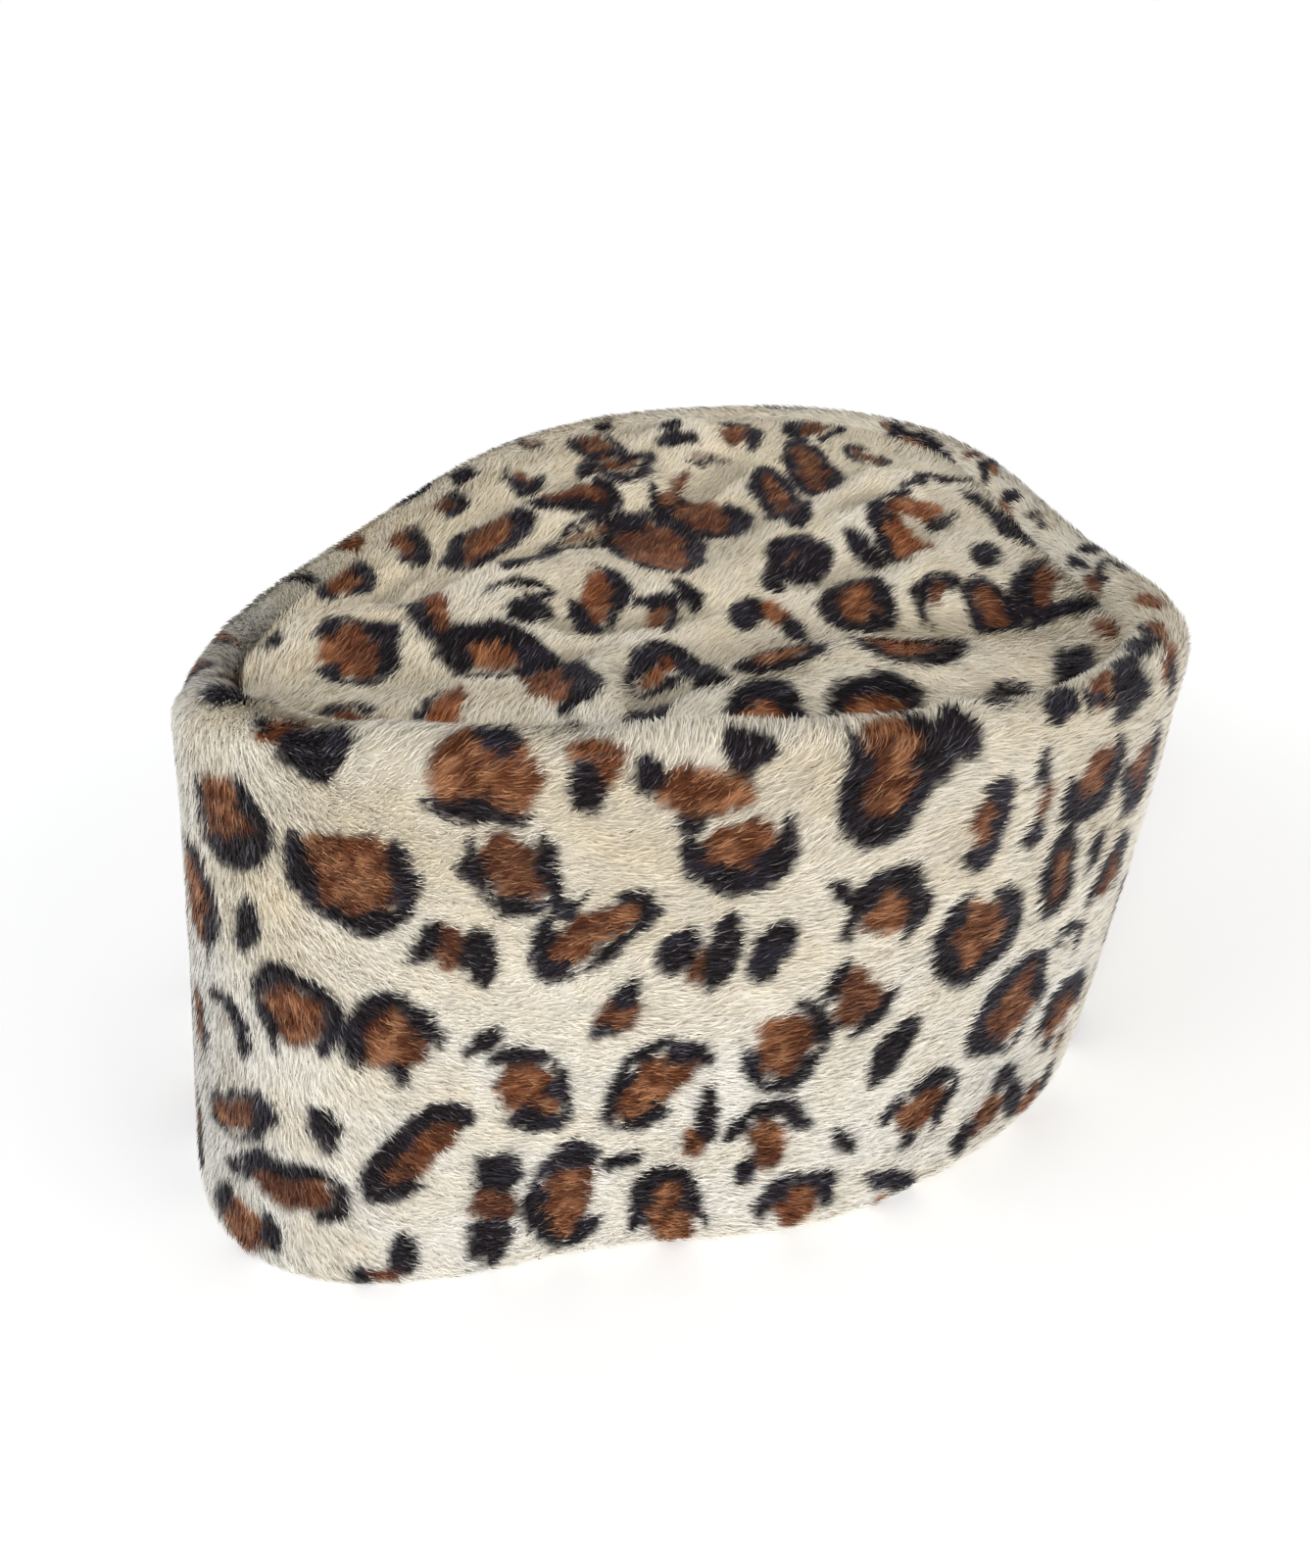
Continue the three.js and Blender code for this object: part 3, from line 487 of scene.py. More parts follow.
def spot_cover(x, y, spots, wrap=None):
    """How dark and how brown the print is at cloth places x, y."""
    grow = GROW[wrap is not None]
    dark, brown, deep = np.zeros(x.shape), np.zeros(x.shape), np.zeros(x.shape)
    for k, (name, cx, cy, w, h, lean, kind, core) in enumerate(spots):
        dx, dy = x - cx, y - cy
        if wrap:
            dx = (dx + wrap / 2) % wrap - wrap / 2
        a, b = w / 2.0, h / 2.0
        near = (np.abs(dx) < max(a, b) + 4) & (np.abs(dy) < max(a, b) + 4)
        if not near.any():
            continue
        i = np.nonzero(near)[0]
        dx, dy = dx[i], dy[i]
        c, s = math.cos(math.radians(lean)), math.sin(math.radians(lean))
        px, py = dx * c + dy * s, -dx * s + dy * c
        f = np.sqrt((px / a) ** 2 + (py / b) ** 2) + 1e-6
        slope = np.sqrt((px / a ** 2) ** 2 + (py / b ** 2) ** 2) / f + 1e-6
        theta = np.arctan2(dy, dx)
        wobble = 0.055 * np.cos(2 * theta + k * 1.7) + 0.06 * np.cos(3 * theta + k * 2.9) + 0.035 * np.cos(5 * theta + k * 0.6)
        inside = (1 + wobble - f) / slope + grow
        inside = np.clip(inside, -4, min(a, b) + grow)
        if kind == "solid":
            dark[i] = np.maximum(dark[i], smooth(inside, -0.45, 0.45))
            continue
        if kind == "brown":
            brown[i] = np.maximum(brown[i], smooth(inside, -0.5, 0.7))
            continue
        reach = 1.6 + grow + min(a, b) * (1 - core)
        fill = smooth(inside, reach - 0.5, reach + 0.9) if core > 0 else 0 * inside
        brown[i] = np.maximum(brown[i], fill)
        turn = np.degrees(theta)
        radius = np.hypot(px, py)
        for start, end, thick in kind:
            thick, span = min(BOLD * thick + grow, 1.1 * min(a, b) + 1), end - start
            if span >= 360:
                gap = np.full(turn.shape, 20.0)
            else:
                off = np.mod(turn - start, 360.0)
                over = np.where(off <= span, np.minimum(off, span - off), -np.minimum(off - span, 360.0 - off))
                gap = np.radians(over) * np.maximum(radius, 1.5)
            round_end = np.sqrt(np.clip((gap + 0.3) / (0.7 * thick), 0, 1))
            width = thick * (1 + 0.16 * np.cos(4 * theta + k) + 0.1 * np.cos(7 * theta - k)) * round_end
            stroke = smooth(inside, -0.45, 0.45) * (1 - smooth(inside, width - 0.45, width + 0.45)) * (gap > -0.3)
            dark[i] = np.maximum(dark[i], stroke)
            deep[i] = np.maximum(deep[i], (1 - smooth(inside, width, width + 2.2)) * (gap > -0.3))
    return dark, brown, deep


def scatter(count, box, keep, spots, spacing, seed, wrap=None):
    """More spots of the same kind for the cloth that the picture doesn't show."""
    rng = np.random.default_rng(seed)
    placed = [(s[1], s[2], 0.5 * max(s[3], s[4])) for s in spots]
    out = []
    for n in range(count):
        x, y = rng.uniform(box[0], box[1]), rng.uniform(box[2], box[3])
        kind, size = rng.uniform(0.26, 1.0), rng.uniform(7.0, 10.5)
        if n > 0.6 * count:
            kind, size = rng.uniform(0.0, 0.30), rng.uniform(2.3, 4.2)
        a, b = rng.uniform(0, 360), rng.uniform(0, 1)
        if not keep(x, y):
            continue
        clear = True
        for qx, qy, r in placed:
            dx = x - qx
            if wrap:
                dx = (dx + wrap / 2) % wrap - wrap / 2
            if math.hypot(dx, y - qy) < r + size + spacing:
                clear = False
                break
        if not clear:
            continue
        placed.append((x, y, size))
        name, lean = "more_%d" % len(out), rng.uniform(15, 95)
        w, h = 2 * size * rng.uniform(1.0, 1.2), 2 * size * rng.uniform(0.72, 0.98)
        if kind < 0.19:
            out.append((name, x, y, w * 1.25, h * 0.8, lean, "solid", 0))
        elif kind < 0.26:
            out.append((name, x, y, w * 1.1, h * 0.85, lean, "brown", 1))
        else:
            thick, strokes = rng.uniform(3.0, 4.6), []
            if b < 0.5:
                strokes = [(a, a + rng.uniform(210, 290), thick)]
            else:
                first = rng.uniform(110, 160)
                strokes = [(a, a + first, thick), (a + first + 35, a + first + 35 + rng.uniform(80, 120), thick * 0.8)]
            out.append((name, x, y, w, h, lean, tuple(strokes), rng.uniform(0.85, 1.0)))
    return tuple(out)


def band_hidden(u, v):
    inside_front = 308 < u < 524
    if v < float(high(angle_at(u))) - 4.0:
        return not inside_front
    return not (inside_front or u < 250 or u > 536)


BAND_SPOTS = FRONT_SPOTS + RIDGE_SPOTS
BAND_SPOTS += scatter(7000, (0, PERIMETER, 3, 112), band_hidden, BAND_SPOTS, 1.4, 11, PERIMETER)


def crown_hidden(x, y):
    a = math.degrees(math.atan2(y, x)) % 360
    s = math.hypot(x, y) / float(seam_radius(math.radians(a)))
    return s < 0.97 and 178 < a < 292 and s > 0.62


CROWN_SPOTS += scatter(3000, (-110, 130, -110, 110), crown_hidden, CROWN_SPOTS, 1.5, 23)


def crown_valley(x, y):
    """-1 on the crests of the crown, 1 in its creases, where the pile lies in shade."""
    here, ring = crown_height(x, y), 0.0
    for k in range(6):
        ring = ring + crown_height(x + 6.0 * math.cos(k * math.pi / 3), y + 6.0 * math.sin(k * math.pi / 3)) / 6
    return np.clip((ring - here) / 0.9, -1, 1)


def strand_dice(n, rng):
    """Tone of each strand, and which strands get painted highlight in the brown and a painted glint."""
    return rng.normal(0, 1, n), rng.random(n) < 0.16, rng.random(n) < 0.10


def print_colour(x, y, band):
    wx = x + 0.65 * noise(x, y, 3.1, 5) + 0.4 * noise(x, y, 1.3, 6)
    wy = y + 0.65 * noise(x, y, 3.1, 8) + 0.4 * noise(x, y, 1.3, 9)
    dark, brown, deep = spot_cover(wx, wy, BAND_SPOTS if band else CROWN_SPOTS, PERIMETER if band else None)
    return dark, brown, deep


def tint(dark, brown, deep, x, y, band, each, light, glint):
    """Colour of each tuft: cream ground, brown cores that darken towards the strokes, with painted shade, painted
    highlights, painted sheen and painted glints laid into the colour.
    """
    broad, patch, fine, fleck = noise(x, y, 26, 31), noise(x, y, 11, 30), noise(x, y, 4.5, 32), noise(x, y, 1.7, 33)
    if band:
        # painted shade: towards the ridge the band's cream turns tanner and darker, as the ruffled pile there lies in
        # shade; patch and fine add random tone
        tan = 0.16 + 0.52 * smooth(y, 20, 100) + 0.28 * patch + 0.16 * fine
        painted_light_and_shade = 1 - 0.10 * smooth(y, 55, 100) - 0.04 * np.clip(patch, -1, 1)
        # painted shade and painted cool light: the left end of the band is darker and less tan, greyer
        left = smooth(x, 195, 235) * (1 - smooth(x, 312, 352))
        painted_light_and_shade, tan = painted_light_and_shade - 0.26 * left, tan - 0.42 * left
    else:
        valley = crown_valley(x, y)
        # painted shade: the cream turns tanner and darker in the creases of the crown, and painted light makes it
        # lighter on its crests
        tan = 0.78 + 0.22 * smooth(y, -10, 50) + 0.16 * patch + 0.12 * fine + 0.24 * valley
        # painted light: the left part of the crown is brightened by up to 0.17
        painted_light_and_shade = 1.04 - 0.30 * np.clip(valley, -0.4, 1) + 0.17 * smooth(-x, 15, 50)
    tan = np.clip(tan, 0, 1)[:, None]
    cream = (CREAM_PALE * (1 - tan) + CREAM_TAN * tan) * (painted_light_and_shade * (1 + 0.03 * broad + 0.03 * fine + 0.02 * fleck + 0.04 * each))[:, None]
    cream = cream * np.minimum(1.0, 0.93 / cream.max(axis=1))[:, None]
    # painted highlight: golden flecks and gloss noise lighten the brown towards its highlight colour, more on the
    # strands diced light and less near the strokes
    painted_gloss = noise(x, y, 2.8, 34)
    # painted shade and painted light: on the crown the brown is darker towards the rear and brighter at the left
    rust = 0.62 if band else 1.06 - 0.30 * smooth(y, 5, 45) + 0.45 * smooth(-x, 28, 42)
    warm = BROWN * (rust * (1 + 0.24 * fine + 0.30 * fleck + 0.28 * each))[:, None]
    warm = warm * (1 - 0.65 * deep[:, None]) + BROWN_DARK * (0.65 * deep[:, None])
    painted_brown_highlight = np.clip((0.50 * smooth(fleck, 0.2, 0.8) + 0.34 * smooth(painted_gloss, 0.15, 0.8)) * (1 - 0.6 * deep) + 0.28 * light, 0, 0.6)[:, None]
    warm = warm * (1 - painted_brown_highlight) + BROWN_HIGHLIGHT * painted_brown_highlight
    # painted sheen: bluish-lilac highlights on some dark strands and in fine patches of the dark ink
    black = DARK * (1 + 0.25 * each)[:, None] + DARK_PAINTED_SHEEN * (0.35 * (each > 0.6) + 0.25 * smooth(fine, 0.0, 0.7))[:, None]
    out = cream * (1 - brown[:, None]) + warm * brown[:, None]
    out = out * (1 - dark[:, None]) + black * dark[:, None]
    # painted glints: a tenth of the strands are lifted towards a pale bluish shine, or a warm shine on the brown, less
    # on dark and brown
    strong = (1 - 0.5 * np.maximum(dark, brown))[:, None]
    warmth = (brown * (1 - dark))[:, None]
    shine = np.array([0.20, 0.195, 0.215]) * (1 - warmth) + np.array([0.30, 0.18, 0.09]) * warmth
    out = np.where(glint[:, None], out * 0.80 + shine * strong, out)
    return np.clip(out, 0.002, 0.98)


# ---- pile -------------------------------------------------------------------------------
def lay_angle(x, y, rows, base, wrap=None):
    sx, sy = 0.45 * math.cos(math.radians(base)) + 0 * x, 0.45 * math.sin(math.radians(base)) + 0 * x
    for name, cx, cy, deg, reach in rows:
        dx = x - cx
        if wrap:
            dx = (dx + wrap / 2) % wrap - wrap / 2
        w = 1.8 * np.exp(-(dx ** 2 + (y - cy) ** 2) / (2 * (0.7 * reach) ** 2))
        sx, sy = sx + w * math.cos(math.radians(deg)), sy + w * math.sin(math.radians(deg))
    return np.arctan2(sy, sx)


def grid_roots(x0, x1, y0, y1, count, rng, inside):
    """Jittered grid of roots, as near to count as the cell allows."""
    area_cells = 4000
    gx, gy = np.meshgrid(np.linspace(x0, x1, 160), np.linspace(y0, y1, 160))
    share = inside(gx.ravel(), gy.ravel()).mean()
    cell = math.sqrt((x1 - x0) * (y1 - y0) * share / count)
    nx, ny = int(math.ceil((x1 - x0) / cell)), int(math.ceil((y1 - y0) / cell))
    cx, cy = np.meshgrid(np.arange(nx), np.arange(ny))
    x = x0 + (cx.ravel() + rng.random(cx.size)) * (x1 - x0) / nx
    y = y0 + (cy.ravel() + rng.random(cy.size)) * (y1 - y0) / ny
    ok = inside(x, y)
    x, y = x[ok], y[ok]
    if len(x) > count:
        pick = np.sort(rng.permutation(len(x))[:count])
        x, y = x[pick], y[pick]
    return x, y


def pile_mesh(name, x, y, band, rng, material):
    n = len(x)
    surface = band_point if band else crown_point
    low = noise(x, y, 22, 41) * 0.30 + noise(x, y, 7.5, 42) * 0.28 + noise(x, y, 2.4, 43) * 0.26
    angle = lay_angle(x, y, BAND_LAY if band else CROWN_LAY, BAND_LAY_BASE if band else CROWN_LAY_BASE,
                      PERIMETER if band else None) + low + rng.normal(0, 0.15, n)
    reach = 2.9 * (1 + 0.18 * noise(x, y, 5.5, 45)) * rng.uniform(0.72, 1.22, n)
    height = FUR * (1.05 + 0.04 * noise(x, y, 6.0, 46)) * rng.uniform(0.90, 1.05, n)
    if band:
        height = height + 0.9 * np.exp(-((x - 432) / 45) ** 2 - ((y - 107) / 9) ** 2) * rng.random(n)
        turned = (y - high(angle_at(x)) + RIDGE) / RIDGE
        height = height + 1.1 * smooth(turned, 1.6, 2.8) * rng.uniform(0.5, 1.0, n)
    else:
        edge = np.hypot(x, y) / seam_radius(np.arctan2(y, x))
        height = height + 2.0 * smooth(edge, 0.90, 1.0) * rng.uniform(0.5, 1.0, n)
    ax, ay = clump(x, y, 1.5, 51)
    lx = reach * np.cos(angle) + 0.45 * (ax - x) + rng.normal(0, 0.22, n)
    ly = reach * np.sin(angle) + 0.45 * (ay - y) + rng.normal(0, 0.22, n)
    if band:
        end = band_length(angle_at(x))
        ly = np.clip(ly, -y - 0.5, np.maximum(end - y, 0.2))
    base = GROUND - 0.6
    root = surface(x, y, np.full(n, base))
    middle = surface(x + 0.42 * lx, y + 0.42 * ly, base + 0.66 * (height - base))
    tip = surface(x + lx, y + ly, height)
    if band:
        up = band_point(x, y, np.full(n, 1.0)) - band_point(x, y, np.zeros(n))
        up /= np.linalg.norm(up, axis=1, keepdims=True)
        tip_up = band_point(x + lx, y + ly, height + 0.5) - tip
        tip_up /= np.linalg.norm(tip_up, axis=1, keepdims=True)
    else:
        up = crown_normal(x, y)
        tip_up = up
    run = tip - root
    run /= np.linalg.norm(run, axis=1, keepdims=True)
    across = np.cross(run, up)
    across /= np.maximum(np.linalg.norm(across, axis=1, keepdims=True), 1e-6)
    face = np.cross(across, run)
    roll = rng.normal(0, 0.55, n)[:, None]
    across = np.cos(roll) * across + np.sin(roll) * face
    wide = (0.20 * rng.uniform(0.75, 1.3, n))[:, None] * across
    co = np.empty((n, 5, 3))
    co[:, 0], co[:, 1] = root - 0.45 * wide, root + 0.45 * wide
    co[:, 2], co[:, 3] = middle + 0.52 * wide, middle - 0.52 * wide
    co[:, 4] = tip
    co[..., 2] = np.maximum(co[..., 2], 0.15)
    dice, rgba = strand_dice(n, rng), np.ones((n, 5, 4), np.float32)
    stray_x, stray_y = rng.normal(0, 0.38, n), rng.normal(0, 0.38, n)
    # painted shade: the root corners are darker and the tip a little lighter, standing in for shade deep in the pile
    for corners, share, tone in (((0, 1), 0.30, 0.90), ((2, 3), 0.58, 0.98), ((4,), 0.92, 1.02)):
        cx, cy = x + share * lx + stray_x, y + share * ly + stray_y
        dark, brown, deep = print_colour(cx, cy, band)
        colour = tint(dark, brown, deep, cx, cy, band, *dice)
        for k in corners:
            rgba[:, k, :3] = np.clip(colour * tone, 0, 1)
    cx, cy = x + 0.6 * lx, y + 0.6 * ly
    mesh = bpy.data.meshes.new(name)
    mesh.vertices.add(5 * n)
    mesh.vertices.foreach_set("co", (co * MM).astype(np.float32).ravel())
    first = 5 * np.arange(n)[:, None]
    loops = (first + np.array([0, 1, 2, 3, 3, 2, 4])).ravel()
    mesh.loops.add(7 * n)
    mesh.loops.foreach_set("vertex_index", loops.astype(np.int32))
    mesh.polygons.add(2 * n)
    starts = (7 * np.arange(n)[:, None] + np.array([0, 4])).ravel()
    mesh.polygons.foreach_set("loop_start", starts.astype(np.int32))
    mesh.update(calc_edges=True)
    mesh.polygons.foreach_set("use_smooth", np.ones(2 * n, dtype=bool))
    # colour of the print with painted shade, highlights, sheen and glints
    layer = mesh.color_attributes.new("PrintAndPaintedLight", "FLOAT_COLOR", "POINT")
    layer.data.foreach_set("color", rgba.ravel())
    uv = mesh.uv_layers.new(name="OFBake")
    tx = (cx - x.min()) / max(x.max() - x.min(), 1) * 0.98 + 0.01
    ty = (cy - y.min()) / max(y.max() - y.min(), 1) * 0.98 + 0.01
    small = np.array([[-1, -1], [1, -1], [1, 0.5], [-1, 0.5], [0, 2]]) * 0.0016
    place = np.stack([tx, ty], -1)[:, None, :] + small[None, :, :]
    uv.data.foreach_set("uv", place[:, [0, 1, 2, 3, 3, 2, 4], :].astype(np.float32).ravel())
    lean = up * 0.88 + face * 0.12 + rng.normal(0, 0.06, (n, 3))
    lean_tip = tip_up * 0.88 + face * 0.12 + rng.normal(0, 0.06, (n, 3))
    normals = np.empty((n, 5, 3))
    normals[:, :4], normals[:, 4] = lean[:, None, :], lean_tip
    normals /= np.linalg.norm(normals, axis=2, keepdims=True)
    mesh.normals_split_custom_set_from_vertices(normals.reshape(-1, 3).tolist())
    mesh.validate()
    piece = bpy.data.objects.new(name, mesh)
    bpy.context.scene.collection.objects.link(piece)
    mesh.materials.append(material)
    return piece


# ---- materials ----------------------------------------------------------------------------
def new_material(name):
    m = bpy.data.materials.new(name)
    m.use_nodes = True
    nodes, links = m.node_tree.nodes, m.node_tree.links
    nodes.clear()
    out = nodes.new("ShaderNodeOutputMaterial")
    shader = nodes.new("ShaderNodeBsdfPrincipled")
    links.new(shader.outputs["BSDF"], out.inputs["Surface"])
    return m, nodes, links, shader


def mix_colour(nodes, links, kind, a, b, factor):
    node = nodes.new("ShaderNodeMix")
    node.data_type, node.blend_type = "RGBA", kind
    for socket, value in ((node.inputs[0], factor), (node.inputs[6], a), (node.inputs[7], b)):
        if hasattr(value, "is_output"):
            links.new(value, socket)
        else:
            socket.default_value = value
    return node.outputs[2]


def pile_material(name, shade, roughness, sheen):
    m, nodes, links, shader = new_material(name)
    tone = nodes.new("ShaderNodeAttribute")
    tone.attribute_name = "PrintAndPaintedLight"
    where = nodes.new("ShaderNodeTexCoord")
    patch = nodes.new("ShaderNodeTexNoise")
    patch.inputs["Scale"].default_value = 260.0
    patch.inputs["Detail"].default_value = 3.0
    links.new(where.outputs["Object"], patch.inputs["Vector"])
    ramp = nodes.new("ShaderNodeMapRange")
    ramp.inputs["From Min"].default_value, ramp.inputs["From Max"].default_value = 0.3, 0.7
    ramp.inputs["To Min"].default_value, ramp.inputs["To Max"].default_value = 0.90 * shade, 1.06 * shade
    links.new(patch.outputs["Fac"], ramp.inputs["Value"])
    grey = nodes.new("ShaderNodeCombineColor")
    for k in range(3):
        links.new(ramp.outputs["Result"], grey.inputs[k])
    links.new(mix_colour(nodes, links, "MULTIPLY", tone.outputs["Color"], grey.outputs["Color"], 1.0), shader.inputs["Base Color"])
    fine = nodes.new("ShaderNodeTexNoise")
    fine.inputs["Scale"].default_value = 1400.0
    links.new(where.outputs["Object"], fine.inputs["Vector"])
    rough = nodes.new("ShaderNodeMapRange")
    rough.inputs["To Min"].default_value, rough.inputs["To Max"].default_value = roughness - 0.12, roughness + 0.12
    links.new(fine.outputs["Fac"], rough.inputs["Value"])
    links.new(rough.outputs["Result"], shader.inputs["Roughness"])
    bump = nodes.new("ShaderNodeBump")
    bump.inputs["Strength"].default_value = 0.25
    bump.inputs["Distance"].default_value = 0.0002
    links.new(fine.outputs["Fac"], bump.inputs["Height"])
    links.new(bump.outputs["Normal"], shader.inputs["Normal"])
    shader.inputs["Sheen Weight"].default_value = sheen
    shader.inputs["Sheen Roughness"].default_value = 0.45
    shader.inputs["Sheen Tint"].default_value = (0.86, 0.86, 1.0, 1.0)
    shader.inputs["Specular IOR Level"].default_value = 0.20
    return m


def backing_material():
    """Plain woven backing inside the cap."""
    m, nodes, links, shader = new_material("woven_backing")
    where = nodes.new("ShaderNodeTexCoord")
    waves = []
    for turn in ("X", "Z"):
        wave = nodes.new("ShaderNodeTexWave")
        wave.bands_direction = turn
        wave.inputs["Scale"].default_value = 420.0
        wave.inputs["Distortion"].default_value = 1.2
        links.new(where.outputs["Object"], wave.inputs["Vector"])
        waves.append(wave)
    both = nodes.new("ShaderNodeMath")
    both.operation = "MULTIPLY"
    links.new(waves[0].outputs["Fac"], both.inputs[0])
    links.new(waves[1].outputs["Fac"], both.inputs[1])
    patch = nodes.new("ShaderNodeTexNoise")
    patch.inputs["Scale"].default_value = 60.0
    links.new(where.outputs["Object"], patch.inputs["Vector"])
    ground = mix_colour(nodes, links, "MIX", (0.42, 0.37, 0.29, 1), (0.52, 0.46, 0.37, 1), patch.outputs["Fac"])
    links.new(mix_colour(nodes, links, "MIX", ground, (0.62, 0.56, 0.46, 1), both.outputs["Value"]), shader.inputs["Base Color"])
    bump = nodes.new("ShaderNodeBump")
    bump.inputs["Strength"].default_value = 0.35
    bump.inputs["Distance"].default_value = 0.0004
    links.new(both.outputs["Value"], bump.inputs["Height"])
    links.new(bump.outputs["Normal"], shader.inputs["Normal"])
    shader.inputs["Roughness"].default_value = 0.9
    shader.inputs["Sheen Weight"].default_value = 0.15
    return m


band_pile_look = pile_material("band_pile_look", 1.0, 0.36, 0.05)
crown_pile_look = pile_material("crown_pile_look", 1.0, 0.38, 0.03)
# painted shade: the ground under the pile gets shade 0.85, darker than the pile over it
ground_look = pile_material("pile_ground", 0.85, 0.85, 0.04)
backing_look = backing_material()


# ---- cloth under the pile --------------------------------------------------------------------
def cloth_mesh(name, grid, closed_rows, places, band, backing_rows):
    """Closed grid of cloth: grid[column, row], wrapped both ways for the band."""
    columns, rows = grid.shape[:2]
    mesh = bpy.data.meshes.new(name)
    co = grid.reshape(-1, 3) * MM
    faces, is_backing = [], []
    for j in range(columns):
        a, b = j * rows, ((j + 1) % columns) * rows
        for i in range(rows if closed_rows else rows - 1):
            k = (i + 1) % rows
            faces.append((a + i, b + i, b + k, a + k))
            is_backing.append(i >= backing_rows)
    mesh.from_pydata(co.tolist(), [], faces)
    mesh.polygons.foreach_set("use_smooth", np.ones(len(faces), dtype=bool))
    return mesh, np.array(is_backing)


def finish_cloth(name, mesh, is_backing, cx, cy, band):
    dark, brown, deep = print_colour(cx, cy, band)
    plain = np.zeros(len(cx))
    # painted shade: the cloth under the pile is a tenth darker than the print, as shade between the strands
    colour = tint(dark, brown, deep, cx, cy, band, plain, plain > 0, plain > 0) * 0.9
    rgba = np.ones((len(cx), 4), np.float32)
    rgba[:, :3] = colour
    layer = mesh.color_attributes.new("PrintAndPaintedLight", "FLOAT_COLOR", "POINT")
    layer.data.foreach_set("color", rgba.ravel())
    uv = mesh.uv_layers.new(name="OFBake")
    vi = np.empty(len(mesh.loops), np.int32)
    mesh.loops.foreach_get("vertex_index", vi)
    tx = (cx - cx.min()) / (cx.max() - cx.min()) * 0.98 + 0.01
    ty = (cy - cy.min()) / (cy.max() - cy.min()) * 0.98 + 0.01
    uv.data.foreach_set("uv", np.stack([tx[vi], ty[vi]], -1).astype(np.float32).ravel())
    mesh.materials.append(ground_look)
    mesh.materials.append(backing_look)
    mesh.polygons.foreach_set("material_index", is_backing.astype(np.int32))
    mesh.update()
    piece = bpy.data.objects.new(name, mesh)
    bpy.context.scene.collection.objects.link(piece)
    return piece


def make_band_cloth():
    columns = 480
    u = PERIMETER * np.arange(columns) / columns
    a = angle_at(u)
    wall_top, length = high(a) - RIDGE, band_length(a)
    lip_low = high(a) - sink(a) - CLOTH - SEAM_ALLOWANCE
    rows, places = [], []
    for t in np.linspace(0, 1, 72):
        v = 0.4 + (wall_top - 0.4) * t
        rows.append(band_point(u, v, np.full(columns, GROUND)))
        places.append(v)
    for t in np.linspace(0, np.pi, 13)[1:]:
        v = wall_top + RIDGE * t
        rows.append(band_point(u, v, np.full(columns, GROUND)))
        places.append(v)
    for t in (0.5, 1.0):
        v = wall_top + np.pi * RIDGE + (length - wall_top - np.pi * RIDGE) * t
        rows.append(band_point(u, v, np.full(columns, GROUND)))
        places.append(v)
    outer_rows = len(rows)

    def ring(r, z):
        rows.append(np.stack([r * np.cos(a) - MID_X, r * np.sin(a) - MID_Y, z], -1))
        places.append(length + 2.0 + 0 * a)

    inner = top(a) - 2 * RIDGE
    ring(inner, lip_low)
    for t in np.linspace(0, 1, 8):
        z = lip_low + (RIM_ROUND - lip_low) * t
        ring(wall_radius(a, z / wall_top) - CLOTH, z)
    ring(rim(a) - CLOTH + 1.2, 0.35 + 0 * a)
    ring(rim(a) - FUR, 0.1 + 0 * a)
    grid = np.stack(rows, 1)
    mesh, backing = cloth_mesh("band_cloth", grid, True, places, True, outer_rows)
    return finish_cloth("band_cloth", mesh, backing, np.repeat(u, grid.shape[1]), np.stack(places, 1).ravel(), True)


def make_crown_cloth():
    columns, rings = 180, 56
    a = 2 * np.pi * np.arange(columns) / columns
    share = (np.arange(1, rings + 1) / rings)
    verts, cx, cy = [], [], []
    for h in (GROUND, FUR - CLOTH):
        mid = crown_point(np.zeros(1), np.zeros(1), np.full(1, h))
        verts.append(mid), cx.append(np.zeros(1)), cy.append(np.zeros(1))
        for s in share:
            r = s * seam_radius(a)
            x, y = r * np.cos(a), r * np.sin(a)
            verts.append(crown_point(x, y, np.full(columns, h))), cx.append(x), cy.append(y)
    co, cx, cy = np.vstack(verts) * MM, np.concatenate(cx), np.concatenate(cy)
    side = 1 + columns * rings
    faces, backing = [], []
    for j in range(columns):
        k = (j + 1) % columns
        for under in (0, 1):
            o = under * side
            tri = (o, o + 1 + j, o + 1 + k)
            faces.append(tri[::-1] if under else tri), backing.append(under)
            for i in range(rings - 1):
                p, q = o + 1 + i * columns, o + 1 + (i + 1) * columns
                quad = (p + j, q + j, q + k, p + k)
                faces.append(quad[::-1] if under else quad), backing.append(under)
        p, q = 1 + (rings - 1) * columns, side + 1 + (rings - 1) * columns
        faces.append((p + j, q + j, q + k, p + k)), backing.append(1)
    mesh = bpy.data.meshes.new("crown_cloth")
    mesh.from_pydata(co.tolist(), [], faces)
    mesh.polygons.foreach_set("use_smooth", np.ones(len(faces), dtype=bool))
    return finish_cloth("crown_cloth", mesh, np.array(backing), cx, cy, False)


band_cloth = make_band_cloth()
crown_cloth = make_crown_cloth()

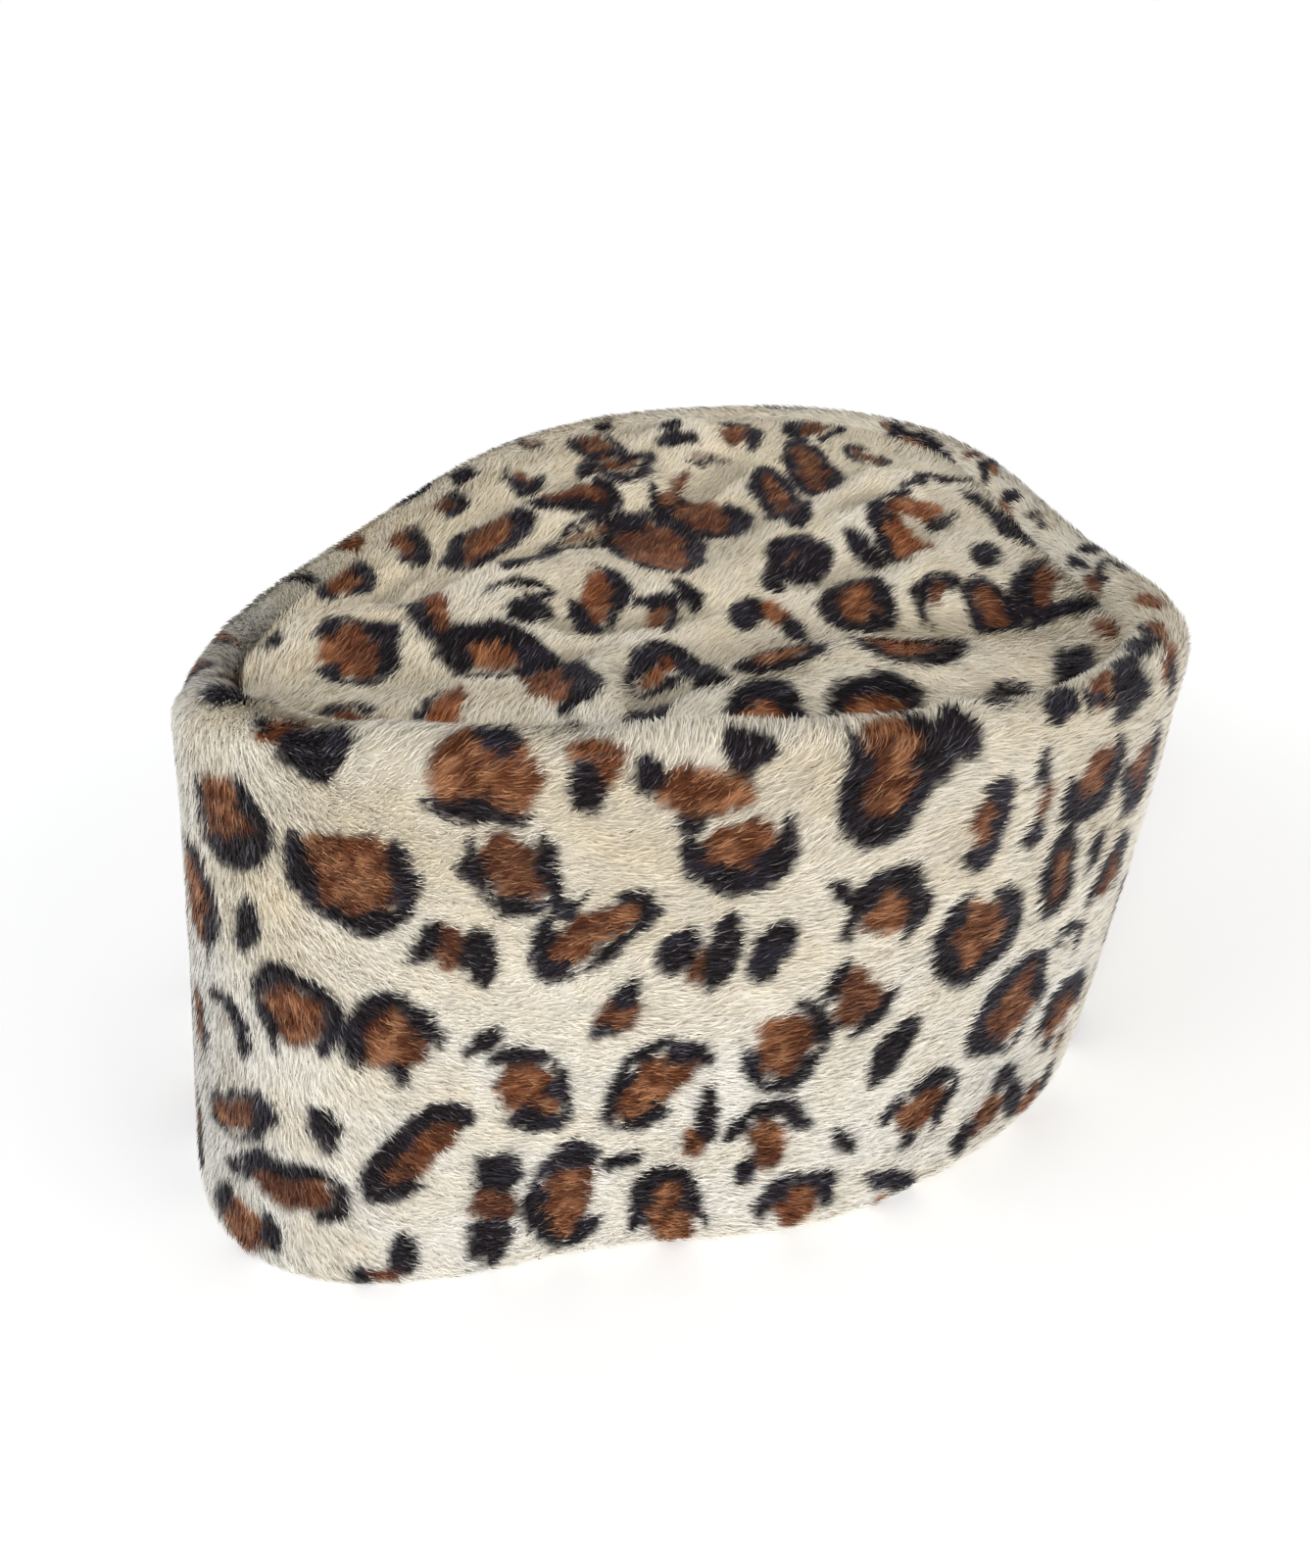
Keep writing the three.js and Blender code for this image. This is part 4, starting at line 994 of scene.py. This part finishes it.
# ---- pile pieces -------------------------------------------------------------------------------
BAND_PER_SECTOR = 54000
CROWN_PER_HALF = 34500
band_pile, crown_pile = [], []
for k, side in enumerate(("right_rear", "left_rear", "left_front", "right_front")):
    rng = np.random.default_rng(100 + k)
    u0, u1 = PERIMETER * k / 4, PERIMETER * (k + 1) / 4
    x, y = grid_roots(u0, u1, 0.35, 125.0, BAND_PER_SECTOR, rng, lambda p, q: q < band_length(angle_at(p)))
    band_pile.append(pile_mesh("band_pile_" + side, x, y, True, rng, band_pile_look))
for k, side in enumerate(("front", "rear")):
    rng = np.random.default_rng(200 + k)
    low, high_y = ((-125.0, 4.0), (4.0, 125.0))[k]
    x, y = grid_roots(-110.0, 130.0, low, high_y, CROWN_PER_HALF, rng,
                      lambda p, q: np.hypot(p, q) < seam_radius(np.arctan2(q, p)))
    crown_pile.append(pile_mesh("crown_pile_" + side, x, y, False, rng, crown_pile_look))

for piece in band_pile + [band_cloth]:
    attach(piece, "root")
    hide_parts("band")
for piece in crown_pile + [crown_cloth]:
    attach(piece, "root")
    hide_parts("crown")

angles = np.linspace(0, 2 * np.pi, 721)[:-1]
crown_width = float(np.ptp(seam_radius(angles) * np.sin(angles))) + 12
crown_long = float(np.ptp(seam_radius(angles) * np.cos(angles))) + 12

# ---- floor, light, camera ----------------------------------------------------------------------
floor_mesh = bpy.data.meshes.new("floor")
floor_mesh.from_pydata([(-80, -80, 0), (80, -80, 0), (80, 80, 0), (-80, 80, 0)], [], [(0, 1, 2, 3)])
floor = bpy.data.objects.new("floor", floor_mesh)
bpy.context.scene.collection.objects.link(floor)
floor_look, nodes, links, shader = new_material("floor_look")
spread = nodes.new("ShaderNodeTexNoise")
spread.inputs["Scale"].default_value = 3.0
links.new(mix_colour(nodes, links, "MIX", (0.93, 0.93, 0.93, 1), (0.95, 0.95, 0.95, 1), spread.outputs["Fac"]), shader.inputs["Base Color"])
shader.inputs["Roughness"].default_value = 0.95
shader.inputs["Specular IOR Level"].default_value = 0.1
shader.inputs["Emission Color"].default_value = (1.0, 1.0, 1.0, 1.0)
shader.inputs["Emission Strength"].default_value = 0.25
floor_mesh.materials.append(floor_look)

scene = bpy.context.scene
world = bpy.data.worlds.new("studio")
scene.world = world
world.use_nodes = True
nodes, links = world.node_tree.nodes, world.node_tree.links
sky = nodes["Background"]
where = nodes.new("ShaderNodeTexCoord")
part = nodes.new("ShaderNodeSeparateXYZ")
links.new(where.outputs["Generated"], part.inputs[0])
level = nodes.new("ShaderNodeMapRange")
level.interpolation_type = "SMOOTHSTEP"
for socket, value in (("From Min", 0.10), ("From Max", 0.55), ("To Min", 1.0), ("To Max", 0.47)):
    level.inputs[socket].default_value = value
links.new(part.outputs["Z"], level.inputs["Value"])
sky.inputs["Color"].default_value = (1.0, 1.0, 1.0, 1.0)
links.new(level.outputs["Result"], sky.inputs["Strength"])


def soft_sun(name, towards, strength, spread, colour):
    data = bpy.data.lights.new(name, "SUN")
    data.energy, data.angle, data.color = strength, math.radians(spread), colour
    lamp = bpy.data.objects.new(name, data)
    scene.collection.objects.link(lamp)
    lamp.rotation_euler = (-Vector(towards)).to_track_quat("-Z", "Y").to_euler()


soft_sun("key", (-0.70, -0.55, 0.40), 1.28, 24.0, (1.0, 0.99, 0.97))
soft_sun("fill", (0.32, -0.90, 0.34), 0.72, 40.0, (1.0, 0.985, 0.96))
soft_sun("side", (-0.80, 0.28, 0.50), 0.70, 50.0, (0.88, 0.94, 1.0))
scene.view_settings.view_transform = "Standard"

camera_data = bpy.data.cameras.new("camera")
camera = bpy.data.objects.new("camera", camera_data)
scene.collection.objects.link(camera)
camera_data.sensor_width, camera_data.lens, camera_data.clip_start = 36.0, 32.63, 0.01
camera_data.clip_end = 500.0
turn = np.array([[0.78643, -0.61306, -0.07536], [0.33757, 0.32442, 0.88363], [-0.51727, -0.72036, 0.46208]])
left, _, right = np.linalg.svd(turn)
turn = left @ right
placed = Matrix(turn.T.tolist()).to_4x4()
placed.translation = Vector(((-150.19 - MID_X) * MM, (-220.29 - MID_Y) * MM, 193.77 * MM))
camera.matrix_world = placed
scene.camera = camera
